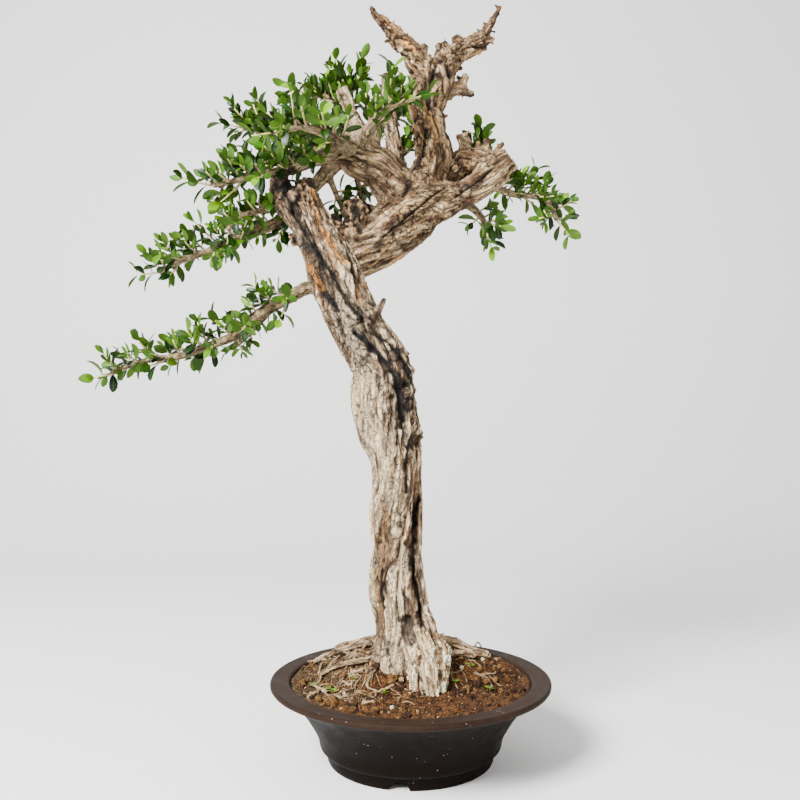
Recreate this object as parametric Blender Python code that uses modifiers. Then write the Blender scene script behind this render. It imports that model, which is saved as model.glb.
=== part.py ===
# Olive bonsai: an old, collected olive with a slanting trunk, a hollow crown of dead wood and
# small-leaved live branches, planted in a round unglazed pot with a wide rim.
# Run it with: blender --background --python part.py
# Every size below is in millimetres, from the pot's axis (x, y) and the surface it stands on (z).
# The viewer stands at negative y. MM turns millimetres into Blender's metres.

import math
import random

import bmesh
import bpy
import numpy as np
from mathutils import Vector
from mathutils.bvhtree import BVHTree

MM = 0.001
COLLECTION = "olive_bonsai"

# Pot: outer profile from the rim down to the foot, and inner profile from the drain hole up.
POT_STEPS = 36
RIM_RADIUS = 111.0
POT_HEIGHT = 64.0
FOOT_RADIUS = 65.5
FOOT_INNER_RADIUS = 57.0
FOOT_RECESS = 6.5
DRAIN_RADIUS = 8.0
FLOOR_TOP = 13.0
POT_OUTSIDE = [
    (RIM_RADIUS - 1.8, POT_HEIGHT),
    (RIM_RADIUS, POT_HEIGHT - 1.4),
    (RIM_RADIUS, 60.0),
    (RIM_RADIUS - 2.4, 58.4),
    (102.0, 56.6),
    (94.5, 51.0),
    (87.0, 43.0),
    (80.5, 33.5),
    (75.6, 25.0),
    (73.2, 19.0),
    (72.4, 14.5),
    (70.4, 10.8),
    (67.0, 10.2),
    (FOOT_RADIUS, 0.0),
]
POT_UNDERSIDE = [
    (FOOT_INNER_RADIUS, 0.0),
    (FOOT_INNER_RADIUS - 1.0, FOOT_RECESS),
    (DRAIN_RADIUS, FOOT_RECESS),
]
POT_INSIDE = [
    (DRAIN_RADIUS, FLOOR_TOP),
    (58.0, FLOOR_TOP),
    (64.5, 16.0),
    (70.0, 26.0),
    (79.0, 40.5),
    (89.0, 52.5),
    (94.0, 59.0),
    (95.5, POT_HEIGHT - 1.6),
]
FOOT_ARCHES = 3
FOOT_ARCH_RADIUS = 7.2
FIRST_ARCH_ANGLE = math.radians(-98)

# Soil: it fills the pot and rises to a mound behind and around the trunk.
GAP = 0.35
SOIL_EDGE = 61.6
MOUND_CENTRE = (-2.0, 18.0)
MOUND_HALF_SIZE = (90.0, 51.0)
MOUND_HEIGHT = 24.0
SOIL_TOP_RINGS = [88.0, 78.0, 68.0, 58.0, 48.0, 38.0, 28.0, 10.0]
STUMP_HOLE_RADIUS = 26.0
DRAIN_MESH_RADIUS = 15.0
DRAIN_MESH_THICKNESS = 1.2

# Wood: each limb is a path of (x, y, z, radius). The limbs are grown together into one piece.
WOOD_BOTTOM = 30.0
VOXEL = 1.7
WOOD_TRIANGLES = 4300
TRUNK = [
    (-4, 0, 24, 20), (-4, 0, 55, 21.5), (-6, -2, 82, 22), (-7, -2, 112, 20.5), (-12, 0, 137, 21),
    (-12, 1, 164, 17.5), (-12, 2, 192, 19.5), (-10, 1, 216, 19), (-12, 0, 240, 20),
    (-16, -1, 260, 23), (-20, -3, 282, 24), (-23, -5, 308, 23), (-31, -6, 324, 21.5),
    (-40, -6, 338, 20.5), (-54, -8, 367, 20.5), (-60, -9, 382, 20), (-65, -10, 396, 19),
    (-72, -12, 409, 16.5), (-79, -14, 423, 15.5), (-87, -16, 437, 16.5), (-91, -17, 445, 17),
]
FEET = {
    "foot_right": [
        (5, -6, 112, 13), (10, -14, 94, 14), (13, -21, 79, 13), (13, -27, 67, 11), (13, -29, 52, 10),
    ],
    "foot_left": [(-15, -2, 98, 12), (-19, -5, 80, 11), (-17, -10, 66, 10), (-15, -12, 52, 9)],
}
DEAD_WOOD = {
    "stub_horn_left": [(-97, -17, 440, 10.5), (-101, -17, 449, 8.5), (-103, -18, 457, 5)],
    "stub_horn_right": [(-85, -17, 440, 10.5), (-82, -17, 449, 8.5), (-80, -17, 457, 5)],
    "bough": [
        (-58, 2, 390, 16), (-44, 8, 401, 19.5), (-28, 12, 412, 21), (-13, 12, 425, 23),
        (0, 10, 437, 23.5),
        (14, 8, 445, 20), (29, 6, 447, 16), (41, 5, 449, 11.5), (54, 4, 456, 11.5), (65, 2, 465, 12),
        (74, 0, 473, 10.5), (80, -1, 477, 9),
    ],
    "ring_top": [
        (73, 2, 474, 9), (61, 5, 475, 9.5), (50, 8, 479, 9), (42, 10, 480, 8), (34, 11, 472, 7),
    ],
    "upright": [
        (6, 8, 442, 16), (12, 6, 460, 16), (18, 4, 477, 14), (17, 3, 491, 12.5), (16, 2, 504, 12.5),
        (13, 1, 516, 13.5), (16, 0, 528, 15), (19, 0, 538, 16.5), (18, 0, 547, 14.5),
    ],
    "jin_left": [
        (14, 0, 540, 12), (6, -1, 552, 10.5), (0, -2, 562, 9), (-10, -4, 571, 7.5), (-18, -6, 579, 5.5),
        (-25, -8, 585, 4), (-32, -10, 593, 1.8),
    ],
    "jin_right": [
        (22, 0, 540, 12.5), (29, 1, 554, 10.5), (38, 2, 562, 8), (48, 4, 568, 7), (56, 5, 573, 6.5),
        (61, 6, 581, 5), (66, 7, 590, 3.5), (73, 8, 603, 1.7),
    ],
    "jin_right_nub": [(58, 5, 573, 5.5), (63, 5, 574, 4.5), (67, 5, 574, 2.6)],
    "jin_right_back": [(41, 2, 565, 5.5), (48, 3, 573, 4), (47, 3, 577, 2.4)],
    "side_nub": [(28, 2, 533, 7), (38, 3, 534, 5.5), (45, 4, 535, 4)],
    "plank": [(30, 14, 464, 5), (32, 16, 485, 4), (29, 17, 502, 2.4)],
    "left_limb": [
        (1, 10, 443, 19.5), (-12, 10, 458, 18), (-25, 9, 471, 16), (-38, 8, 476, 16),
        (-49, 6, 481, 14.5),
        (-58, 4, 481, 11), (-66, 2, 478, 8),
    ],
    "cut_stub": [
        (-34, 6, 486, 10.5), (-40, 2, 499, 7), (-47, -1, 512, 5.5), (-51, -3, 522, 5),
        (-55, -5, 531, 4.8),
    ],
    "back_stub": [
        (-10, 16, 471, 9), (-13, 24, 494, 7), (-16, 30, 519, 6.5), (-18, 33, 541, 6.5),
        (-19, 35, 560, 5),
    ],
    "burl": [(-48, 2, 405, 12), (-45, 4, 420, 11), (-42, 5, 434, 11.5), (-40, 6, 443, 10.5)],
    "charred_stub": [(-57, -2, 409, 10), (-60, -2, 420, 8), (-62, -2, 431, 4)],
    "knob_left": [(-78, -6, 411, 7), (-88, -4, 413, 6), (-95, -3, 411, 5.5)],
    "small_jin": [(-30, -15, 341, 5), (-25, -19, 353, 3), (-20, -23, 362, 1.8)],
    "spike_left": [(43, 8, 478, 3.4), (42, 8, 489, 2.4), (38, 8, 499, 1.7)],
    "spike_right": [(54, 6, 478, 3.4), (54, 6, 487, 2.4), (55, 6, 493, 1.8)],
    "strand": [
        (0, -2, 236, 5.5), (5, -3, 212, 5), (6, -4, 186, 4), (5, -4, 160, 4), (8, -4, 136, 5),
        (10, -5, 110, 8),
    ],
}
LIVE_BRANCHES = {
    "lower": [
        (-71, 2, 374, 7), (-82, 0, 374, 5.5), (-96, -4, 366, 5), (-111, -8, 357, 4.8),
        (-126, -12, 346, 4.3),
        (-136, -15, 335, 3.8), (-148, -18, 329, 3.4), (-163, -22, 323, 3), (-178, -26, 317, 2.7),
        (-193, -30, 315, 2.4), (-205, -33, 312, 2.2), (-216, -36, 308, 2), (-226, -38, 303, 1.9),
    ],
    "lower_under": [(-111, -8, 355, 3), (-129, -5, 336, 2.5), (-141, -2, 326, 2)],
    "middle": [
        (-60, 6, 476, 7), (-77, 12, 460, 5.7), (-93, 14, 444, 5.2), (-106, 8, 429, 4.7),
        (-124, 0, 419, 4),
        (-139, -6, 412, 3.6), (-156, -10, 402, 3.1), (-172, -14, 396, 2.7), (-186, -16, 389, 2.2),
        (-196, -18, 383, 1.9),
    ],
    "middle_side": [
        (-92, 12, 443, 3.4), (-107, -4, 437, 2.6), (-122, -14, 431, 2.3), (-133, -20, 425, 2.1),
        (-141, -25, 414, 1.9),
    ],
    "canopy_left": [
        (-61, 2, 480, 8), (-76, -6, 474, 5.5), (-87, -12, 467, 4.3), (-102, -16, 462, 3.6),
        (-115, -20, 458, 3.1),
        (-128, -22, 455, 2.5), (-140, -24, 451, 2.1), (-152, -26, 448, 1.9),
    ],
    "canopy_high_left": [
        (-68, -2, 478, 5), (-85, 4, 487, 4), (-98, 12, 496, 3.4), (-114, 18, 503, 3),
        (-127, 22, 508, 2.3), (-137, 24, 510, 1.9),
    ],
    "canopy_front": [
        (-47, -2, 482, 6.5), (-57, -16, 485, 4.7), (-65, -28, 487, 3.8), (-76, -36, 488, 3),
        (-86, -42, 487, 2.2), (-93, -46, 484, 1.9),
    ],
    "canopy_top": [
        (-46, 6, 492, 5.6), (-53, 14, 511, 4.1), (-61, 20, 527, 3.3), (-71, 24, 536, 2.5),
        (-82, 28, 539, 1.9),
    ],
    "canopy_right": [
        (-39, 0, 488, 5.6), (-31, -18, 497, 3.8), (-23, -28, 502, 3), (-14, -34, 506, 2.4),
        (-5, -38, 508, 1.9),
    ],
    "canopy_back": [
        (-43, 14, 481, 6.5), (-55, 34, 494, 5), (-71, 50, 502, 4.3), (-89, 62, 505, 3.5),
        (-108, 72, 503, 2.7), (-125, 78, 501, 1.9),
    ],
    "canopy_crest": [(-54, 15, 512, 3.6), (-51, 22, 530, 2.8), (-48, 26, 545, 1.9)],
    "canopy_back_right": [
        (-28, 16, 480, 5.7), (-29, 34, 502, 4.6), (-24, 48, 521, 3.6), (-16, 58, 536, 2.6),
        (-8, 64, 545, 1.9),
    ],
    "right": [
        (48, 8, 452, 6), (60, 14, 454, 4.3), (68, 18, 459, 3.5), (79, 20, 456, 3.1), (88, 20, 454, 2.9),
        (100, 18, 452, 2.5), (108, 16, 449, 2.2), (115, 14, 441, 2), (119, 12, 431, 1.9),
    ],
    "right_lower": [(42, 8, 446, 5), (52, 16, 441, 3.4), (59, 18, 434, 2.7), (63, 20, 425, 2.0)],
    "right_back": [(57, 8, 464, 4.2), (56, 24, 482, 3.3), (58, 33, 499, 2.2)],
}
# Surface roots: where each leaves the trunk and where it ends, both over the soil.
ROOTS = [
    ((-18, 6), (-78, 16), 3.4, 5.0),
    ((-16, -2), (-70, -14), 3.0, -4.0),
    ((-12, 12), (-60, 46), 3.4, 6.0),
    ((14, 8), (62, 14), 4.4, -5.0),
    ((12, 12), (50, 36), 3.8, 6.0),
    ((10, 2), (52, -2), 3.2, 4.0),
    ((-4, 14), (-14, 62), 3.2, -5.0),
]
# Grooves cut into the wood along the grain, and hollows: (points, width, depth).
GROOVES = [
    ([(6, -12, 207), (2, -15, 181), (0, -16, 157), (3, -15, 137), (7, -14, 121), (8, -14, 106)], 2.6, 7.0),
    ([(-92, -32, 428), (-76, -30, 406), (-59, -29, 382), (-46, -27, 357), (-37, -26, 347)], 2.4, 4.0),
    ([(-50, -26, 346), (-31, -27, 325), (-20, -28, 305), (-12, -27, 280), (-6, -22, 258)], 3.0, 3.0),
]
HOLLOWS = [((-2, -24, 292), 6.0, 5.0), ((-30, -26, 322), 5.0, 3.5), ((-93, -18, 462), 6.0, 7.0)]

# Foliage: a spray is a twig with pairs of leaves. Each live branch carries this many sprays
# from this share of its length on, with twigs this long.
SPRAYS = {
    "lower": (12, 0.12, 16),
    "lower_under": (1, 0.95, 16),
    "middle": (8, 0.30, 20),
    "middle_side": (2, 0.55, 22),
    "canopy_left": (4, 0.34, 24),
    "canopy_high_left": (4, 0.36, 24),
    "canopy_front": (3, 0.36, 25),
    "canopy_top": (2, 0.50, 26),
    "canopy_crest": (2, 0.55, 24),
    "canopy_right": (3, 0.45, 24),
    "canopy_back": (3, 0.45, 26),
    "canopy_back_right": (3, 0.60, 25),
    "right": (4, 0.45, 21),
    "right_lower": (2, 0.70, 20),
    "right_back": (1, 1.00, 18),
}
TWIG_RADIUS = 0.9
TWIG_SEAT = 0.4
LEAF_SPACING = 6.3
LEAF_LENGTH = (12.0, 17.5)
LEAF_WIDTH_SHARE = 0.46
LEAF_THICKNESS = 0.7
LEAF_TRIES = 8
SEED = 7

COLOURS = {
    "pot_clay": ((0.070, 0.052, 0.043), 0.62),
    "soil": ((0.230, 0.115, 0.048), 0.95),
    "wood": ((0.330, 0.250, 0.185), 0.85),
    "leaf": ((0.095, 0.200, 0.035), 0.45),
    "drain_mesh": ((0.020, 0.020, 0.020), 0.60),
    "tie_wire": ((0.060, 0.045, 0.035), 0.45),
}


def clear_scene():
    """Removes whatever the scene held."""
    for obj in list(bpy.data.objects):
        bpy.data.objects.remove(obj)


def material(name):
    """A plain Principled material with the part's colour and roughness."""
    made = bpy.data.materials.get(name) or bpy.data.materials.new(name)
    colour, roughness = COLOURS[name]
    made.use_nodes = True
    shader = made.node_tree.nodes["Principled BSDF"]
    shader.inputs["Base Color"].default_value = (*colour, 1.0)
    shader.inputs["Roughness"].default_value = roughness
    made.diffuse_color = (*colour, 1.0)
    return made


def collection(name):
    """The collection of that name, linked to the scene."""
    made = bpy.data.collections.get(name)
    if made is None:
        made = bpy.data.collections.new(name)
        bpy.context.scene.collection.children.link(made)
    return made


def add_object(name, data, colour, parent):
    """A named part of the model, in its collection and under the parent empty."""
    obj = bpy.data.objects.new(name, data)
    collection(COLLECTION).objects.link(obj)
    data.materials.append(material(colour))
    obj.parent = parent
    return obj


def hide_helper(obj):
    """Marks a cutter: it shapes another part and is no part itself."""
    for other in list(obj.users_collection):
        other.objects.unlink(obj)
    collection("cutters").objects.link(obj)
    obj.hide_render = True
    obj.display_type = "WIRE"
    return obj


def mesh_from(name, points_mm, faces):
    """A mesh from points in millimetres."""
    mesh = bpy.data.meshes.new(name)
    mesh.from_pydata((np.asarray(points_mm, float) * MM).tolist(), [], faces)
    mesh.update()
    return mesh


def evaluated_mesh(obj):
    """A copy of the object's mesh with its modifiers applied."""
    bpy.context.view_layer.update()
    graph = bpy.context.evaluated_depsgraph_get()
    return bpy.data.meshes.new_from_object(obj.evaluated_get(graph))


def mesh_points(mesh):
    """The mesh's points in millimetres."""
    flat = np.empty(len(mesh.vertices) * 3, np.float32)
    mesh.vertices.foreach_get("co", flat)
    return flat.reshape(-1, 3).astype(float) / MM


def add_boolean(obj, cutter, operation="DIFFERENCE"):
    """A Boolean modifier with the default solver."""
    modifier = obj.modifiers.new(operation.title(), "BOOLEAN")
    modifier.operation = operation
    modifier.object = cutter
    return modifier


# Paths and tubes


def smooth_path(points, step):
    """A smooth curve through the points, resampled about every step: rows of (x, y, z, radius)."""
    keys = np.asarray(points, float)
    keys = np.vstack([2 * keys[0] - keys[1], keys, 2 * keys[-1] - keys[-2]])
    rows = []
    for p0, p1, p2, p3 in zip(keys, keys[1:], keys[2:], keys[3:]):
        count = max(1, round(np.linalg.norm(p2[:3] - p1[:3]) / step))
        t = np.linspace(0, 1, count, endpoint=False)[:, None]
        rows.append(
            0.5 * (2 * p1 + (p2 - p0) * t + (2 * p0 - 5 * p1 + 4 * p2 - p3) * t**2
                   + (3 * p1 - p0 - 3 * p2 + p3) * t**3)
        )
    rows.append(keys[-2][None, :])
    return np.vstack(rows)


def frames_along(centres):
    """Tangents and two side vectors, carried along the path without twisting."""
    tangents = np.gradient(centres, axis=0)
    tangents /= np.linalg.norm(tangents, axis=1)[:, None]
    start = np.array([1.0, 0.0, 0.0]) if abs(tangents[0][0]) < 0.9 else np.array([0.0, 1.0, 0.0])
    sides = []
    side = start
    for tangent in tangents:
        side = side - tangent * (side @ tangent)
        side = side / np.linalg.norm(side)
        sides.append(side)
    sides = np.array(sides)
    return tangents, sides, np.cross(tangents, sides)


def tube(rows, sides, lobes=0.0, grow=0.0, phase=0.0):
    """Points and faces of a closed tube round a path, with lobes that turn slowly with the grain."""
    centres, radii = rows[:, :3], rows[:, 3] + grow
    _, side_a, side_b = frames_along(centres)
    along = np.concatenate([[0], np.cumsum(np.linalg.norm(np.diff(centres, axis=0), axis=1))])
    angle = np.linspace(0, 2 * math.pi, sides, endpoint=False)[None, :]
    turn = along[:, None] / 45.0 + phase
    wave = 0.6 * np.cos(3 * angle + turn) + 0.4 * np.cos(5 * angle - 1.6 * turn + 1.0)
    reach = radii[:, None] * (1 + lobes * wave)
    points = (
        centres[:, None, :]
        + reach[..., None] * np.cos(angle)[..., None] * side_a[:, None, :]
        + reach[..., None] * np.sin(angle)[..., None] * side_b[:, None, :]
    )
    faces = [tuple(reversed(range(sides)))]
    for ring in range(len(rows) - 1):
        for k in range(sides):
            after = (k + 1) % sides
            low, high = ring * sides, (ring + 1) * sides
            faces.append((low + k, low + after, high + after, high + k))
    last = (len(rows) - 1) * sides
    faces.append(tuple(range(last, last + sides)))
    return points.reshape(-1, 3), faces


# Pot


def make_pot(parent):
    """The pot: a turned profile with a drain hole, and three arches through its foot."""
    profile = POT_OUTSIDE + POT_UNDERSIDE + POT_INSIDE
    count = len(profile)
    mesh = bpy.data.meshes.new("pot")
    points = [(r * MM, 0, z * MM) for r, z in profile]
    mesh.from_pydata(points, [(k, (k + 1) % count) for k in range(count)], [])
    pot = add_object("pot", mesh, "pot_clay", parent)
    screw = pot.modifiers.new("Turn", "SCREW")
    screw.steps = screw.render_steps = POT_STEPS
    screw.use_merge_vertices = True
    screw.merge_threshold = 0.00001
    for k in range(FOOT_ARCHES):
        angle = FIRST_ARCH_ANGLE + k * 2 * math.pi / FOOT_ARCHES
        reach = (FOOT_RADIUS + FOOT_INNER_RADIUS) / 2 * MM
        bpy.ops.mesh.primitive_cylinder_add(
            vertices=16,
            radius=FOOT_ARCH_RADIUS * MM,
            depth=30 * MM,
            location=(reach * math.cos(angle), reach * math.sin(angle), -0.4 * MM),
            rotation=(0, math.pi / 2, angle),
        )
        arch = hide_helper(bpy.context.object)
        arch.name = f"foot_arch_{k + 1}"
        arch.parent = parent
        add_boolean(pot, arch)
    return pot


def make_drain_mesh(parent):
    """The plastic mesh that keeps the soil off the drain hole: a thin disc with nine square holes."""
    bottom = FLOOR_TOP + GAP
    bpy.ops.mesh.primitive_cylinder_add(
        vertices=24,
        radius=DRAIN_MESH_RADIUS * MM,
        depth=DRAIN_MESH_THICKNESS * MM,
        location=(0, 0, (bottom + DRAIN_MESH_THICKNESS / 2) * MM),
    )
    disc = bpy.context.object
    disc.data.transform(disc.matrix_world)
    disc.matrix_world.identity()
    disc.location = (0, 0, 0)
    mesh = disc.data
    bpy.data.objects.remove(disc)
    drain = add_object("drain_mesh", mesh, "drain_mesh", parent)
    hole, pitch = 4.2, 6.0
    points, faces = [], []
    for row in (-1, 0, 1):
        for column in (-1, 0, 1):
            first = len(points)
            for z in (bottom - 1, bottom + DRAIN_MESH_THICKNESS + 1):
                for x, y in ((-1, -1), (1, -1), (1, 1), (-1, 1)):
                    points.append((column * pitch + x * hole / 2, row * pitch + y * hole / 2, z))
            sides = [(k, (k + 1) % 4, 4 + (k + 1) % 4, 4 + k) for k in range(4)]
            faces += [tuple(first + k for k in face) for face in [(3, 2, 1, 0), (4, 5, 6, 7), *sides]]
    cutter = bpy.data.objects.new("mesh_holes", mesh_from("mesh_holes", points, faces))
    hide_helper(cutter).parent = parent
    add_boolean(drain, cutter)
    return drain


# Soil


def soil_height(x, y):
    """Height of the soil: flat at the pot's edge, with a mound round the trunk that is higher behind it."""
    across = (x - MOUND_CENTRE[0]) / MOUND_HALF_SIZE[0]
    deep = (y - MOUND_CENTRE[1]) / MOUND_HALF_SIZE[1]
    inside = np.clip(1 - across**2 - deep**2, 0, 1)
    lumps = 0.7 * np.sin(x / 9.0 + 1.3) * np.cos(y / 7.0) + 0.5 * np.sin((x + y) / 5.0)
    return SOIL_EDGE + MOUND_HEIGHT * inside**0.85 + lumps * np.clip(inside * 4, 0.15, 1)


def make_soil(parent, stump_cutters):
    """The soil: one body from the pot's floor to the mound, with plain holes for the wood and the wire."""
    rest = FLOOR_TOP + GAP
    over_mesh = rest + DRAIN_MESH_THICKNESS + GAP
    below = [(DRAIN_MESH_RADIUS + GAP, over_mesh), (DRAIN_MESH_RADIUS + 2 * GAP, rest)]
    wall = [(r - GAP, z + GAP * 0.6) for r, z in POT_INSIDE[1:-1]]
    edge = [(POT_INSIDE[-1][0] - 2 * GAP, SOIL_EDGE)]
    angle = np.linspace(0, 2 * math.pi, POT_STEPS, endpoint=False)
    rings = []
    for radius, z in below + wall + edge:
        rings.append(np.stack([radius * np.cos(angle), radius * np.sin(angle), np.full(POT_STEPS, z)], 1))
    for radius in SOIL_TOP_RINGS:
        x, y = radius * np.cos(angle), radius * np.sin(angle)
        rings.append(np.stack([x, y, soil_height(x, y)], 1))
    bottom = [0.0, 0.0, over_mesh]
    top = [0.0, 0.0, float(soil_height(0.0, 0.0))]
    points = np.vstack([*rings, [bottom], [top]])
    faces = []
    for ring in range(len(rings) - 1):
        for k in range(POT_STEPS):
            after = (k + 1) % POT_STEPS
            low, high = ring * POT_STEPS, (ring + 1) * POT_STEPS
            faces.append((low + k, low + after, high + after, high + k))
    last = (len(rings) - 1) * POT_STEPS
    for k in range(POT_STEPS):
        after = (k + 1) % POT_STEPS
        faces.append((after, k, len(points) - 2))
        faces.append((last + k, last + after, len(points) - 1))
    soil = add_object("soil", mesh_from("soil", points, faces), "soil", parent)
    for cutter in stump_cutters:
        add_boolean(soil, cutter).solver = "MANIFOLD"
    return soil


# Wood


def root_paths():
    """The surface roots: each runs outwards over the soil, bends to one side and thins towards its end."""
    paths = []
    for start, end, radius, bend in ROOTS:
        start, end = np.array(start, float), np.array(end, float)
        across = np.array([end[1] - start[1], start[0] - end[0]]) / np.linalg.norm(end - start)
        path = []
        for share in np.linspace(0, 1, 7):
            x, y = start + (end - start) * share + across * bend * math.sin(share * 5.0)
            thick = radius * (1 - 0.4 * share)
            path.append((x, y, float(soil_height(x, y)) + thick * 1.1 + 1.2, thick))
        paths.append(path)
    return paths


def carve(points):
    """Moves the points of the wood inwards along the grooves and hollows, in millimetres."""
    inward = np.zeros_like(points)
    spine = smooth_path(TRUNK, 4.0)[:, :3]
    for path, width, depth in GROOVES:
        line = smooth_path([(*p, 1.0) for p in path], 2.0)[:, :3]
        near = np.linalg.norm(points[:, None, :] - line[None, :, :], axis=2).min(axis=1)
        inward += axis_direction(points, spine) * (depth * np.exp(-((near / width) ** 2)))[:, None]
    for centre, width, depth in HOLLOWS:
        near = np.linalg.norm(points - np.array(centre, float), axis=1)
        inward += axis_direction(points, spine) * (depth * np.exp(-((near / width) ** 2)))[:, None]
    return points + inward


def axis_direction(points, spine):
    """Unit vectors from each point towards the nearest point of the trunk's axis."""
    nearest = spine[((points[:, None, :] - spine[None, :, :]) ** 2).sum(axis=2).argmin(axis=1)]
    towards = nearest - points
    return towards / np.maximum(np.linalg.norm(towards, axis=1), 1e-6)[:, None]


def make_wood(parent):
    """Trunk, dead wood, live branches and roots as one grown piece, with a flat sawn end in the soil."""
    dead = [TRUNK, *FEET.values(), *DEAD_WOOD.values()]
    points, faces = [], []
    for index, path in enumerate(dead + root_paths() + list(LIVE_BRANCHES.values())):
        lobes = 0.09 if index < len(dead) else 0.0
        limb_points, limb_faces = tube(smooth_path(path, 3.0), 24, lobes, phase=index * 1.7)
        first = sum(len(p) for p in points)
        points.append(limb_points)
        faces += [tuple(first + k for k in face) for face in limb_faces]
    grown = bpy.data.objects.new("grown", mesh_from("grown", np.vstack(points), faces))
    collection(COLLECTION).objects.link(grown)
    remesh = grown.modifiers.new("Grow together", "REMESH")
    remesh.mode = "VOXEL"
    remesh.voxel_size = VOXEL * MM
    mesh = evaluated_mesh(grown)
    bpy.data.objects.remove(grown)
    carved = carve(mesh_points(mesh)) * MM
    mesh.vertices.foreach_set("co", carved.astype(np.float32).ravel())
    mesh.name = "wood"
    wood = add_object("wood", mesh, "wood", parent)
    wood.modifiers.new("Ease", "SMOOTH").factor = 0.4
    decimate = wood.modifiers.new("Facets", "DECIMATE")
    decimate.ratio = WOOD_TRIANGLES / (2 * len(mesh.polygons))
    bpy.ops.mesh.primitive_cube_add(size=1, location=(0, 0, (WOOD_BOTTOM - 25) * MM))
    below = hide_helper(bpy.context.object)
    below.name = "below_the_stump"
    below.scale = (0.12, 0.12, 50 * MM)
    below.parent = parent
    add_boolean(wood, below)
    return wood


def make_stump_cutters(parent):
    """The holes in the soil: a round one for the stump, and for each foot its limb a little thicker."""
    bpy.ops.mesh.primitive_cylinder_add(
        vertices=24,
        radius=STUMP_HOLE_RADIUS * MM,
        depth=100 * MM,
        location=(TRUNK[1][0] * MM, TRUNK[1][1] * MM, (WOOD_BOTTOM - GAP + 50) * MM),
    )
    cutters = [hide_helper(bpy.context.object)]
    cutters[0].name = "stump_hole"
    for index, (name, path) in enumerate(FEET.items(), 1):
        rows = smooth_path(path, 14.0)
        beyond = rows[-1] + (rows[-1] - rows[-2]) * 0.4
        points, faces = tube(np.vstack([rows, beyond]), 14, 0.09, 2.2, index * 1.7)
        hole = mesh_from(f"{name}_hole", points, faces)
        cutters.append(hide_helper(bpy.data.objects.new(hole.name, hole)))
    for cutter in cutters:
        cutter.parent = parent
    return cutters


def make_tie_wire(parent):
    """The wire that ties the tree into the pot: a loop behind the trunk, with both ends in the soil."""
    arch = [(54, 44), (62, 48)]
    (x0, y0), (x1, y1) = arch
    ground = float(soil_height((x0 + x1) / 2, (y0 + y1) / 2))
    curve = bpy.data.curves.new("tie_wire", "CURVE")
    curve.dimensions = "3D"
    curve.bevel_depth = 0.55 * MM
    curve.bevel_resolution = 2
    curve.use_fill_caps = True
    points = [(x0, y0, ground - 5), (x0, y0, ground + 2)]
    for share in np.linspace(0.1, 0.9, 7):
        rise = 7.0 * math.sin(share * math.pi)
        points.append((x0 + (x1 - x0) * share, y0 + (y1 - y0) * share, ground + 2 + rise))
    points += [(x1, y1, ground + 2), (x1, y1, ground - 5)]
    spline = curve.splines.new("POLY")
    spline.points.add(len(points) - 1)
    for point, at in zip(spline.points, points):
        point.co = (*(c * MM for c in at), 1.0)
    wire = add_object("tie_wire", curve, "tie_wire", parent)
    holes = []
    for x, y in arch:
        bpy.ops.mesh.primitive_cylinder_add(
            vertices=8,
            radius=1.1 * MM,
            depth=20 * MM,
            location=(x * MM, y * MM, (ground - 5 - GAP + 10) * MM),
        )
        hole = hide_helper(bpy.context.object)
        hole.parent = parent
        holes.append(hole)
    return wire, holes


# Foliage


def any_side(direction):
    """A unit vector at right angles to the direction."""
    side = direction.cross(Vector((0, 0, 1)))
    if side.length < 0.2:
        side = direction.cross(Vector((1, 0, 0)))
    return side.normalized()


def spray_sites(name, path, rng):
    """Where one branch's sprays start and the way each points: turned by the golden angle, upwards."""
    count, first_share, length = SPRAYS[name]
    rows = smooth_path(path, 1.5)
    tangents, _, _ = frames_along(rows[:, :3])
    turn = rng.uniform(0, 2 * math.pi)
    for k in range(count):
        share = first_share + (1 - first_share) * (k + 0.5) / count if k < count - 1 else 1.0
        index = min(len(rows) - 1, round(share * (len(rows) - 1)))
        tangent = Vector(tangents[index])
        turn += math.radians(137.5)
        side = any_side(tangent)
        around = side * math.cos(turn) + tangent.cross(side) * math.sin(turn)
        lean, lift = (0.15, 0.10) if share == 1.0 else (0.8, 0.45)
        direction = (tangent * 0.75 + around * lean + Vector((0, 0, lift))).normalized()
        yield Vector(rows[index][:3]), direction, length * rng.uniform(0.85, 1.15)


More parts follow.
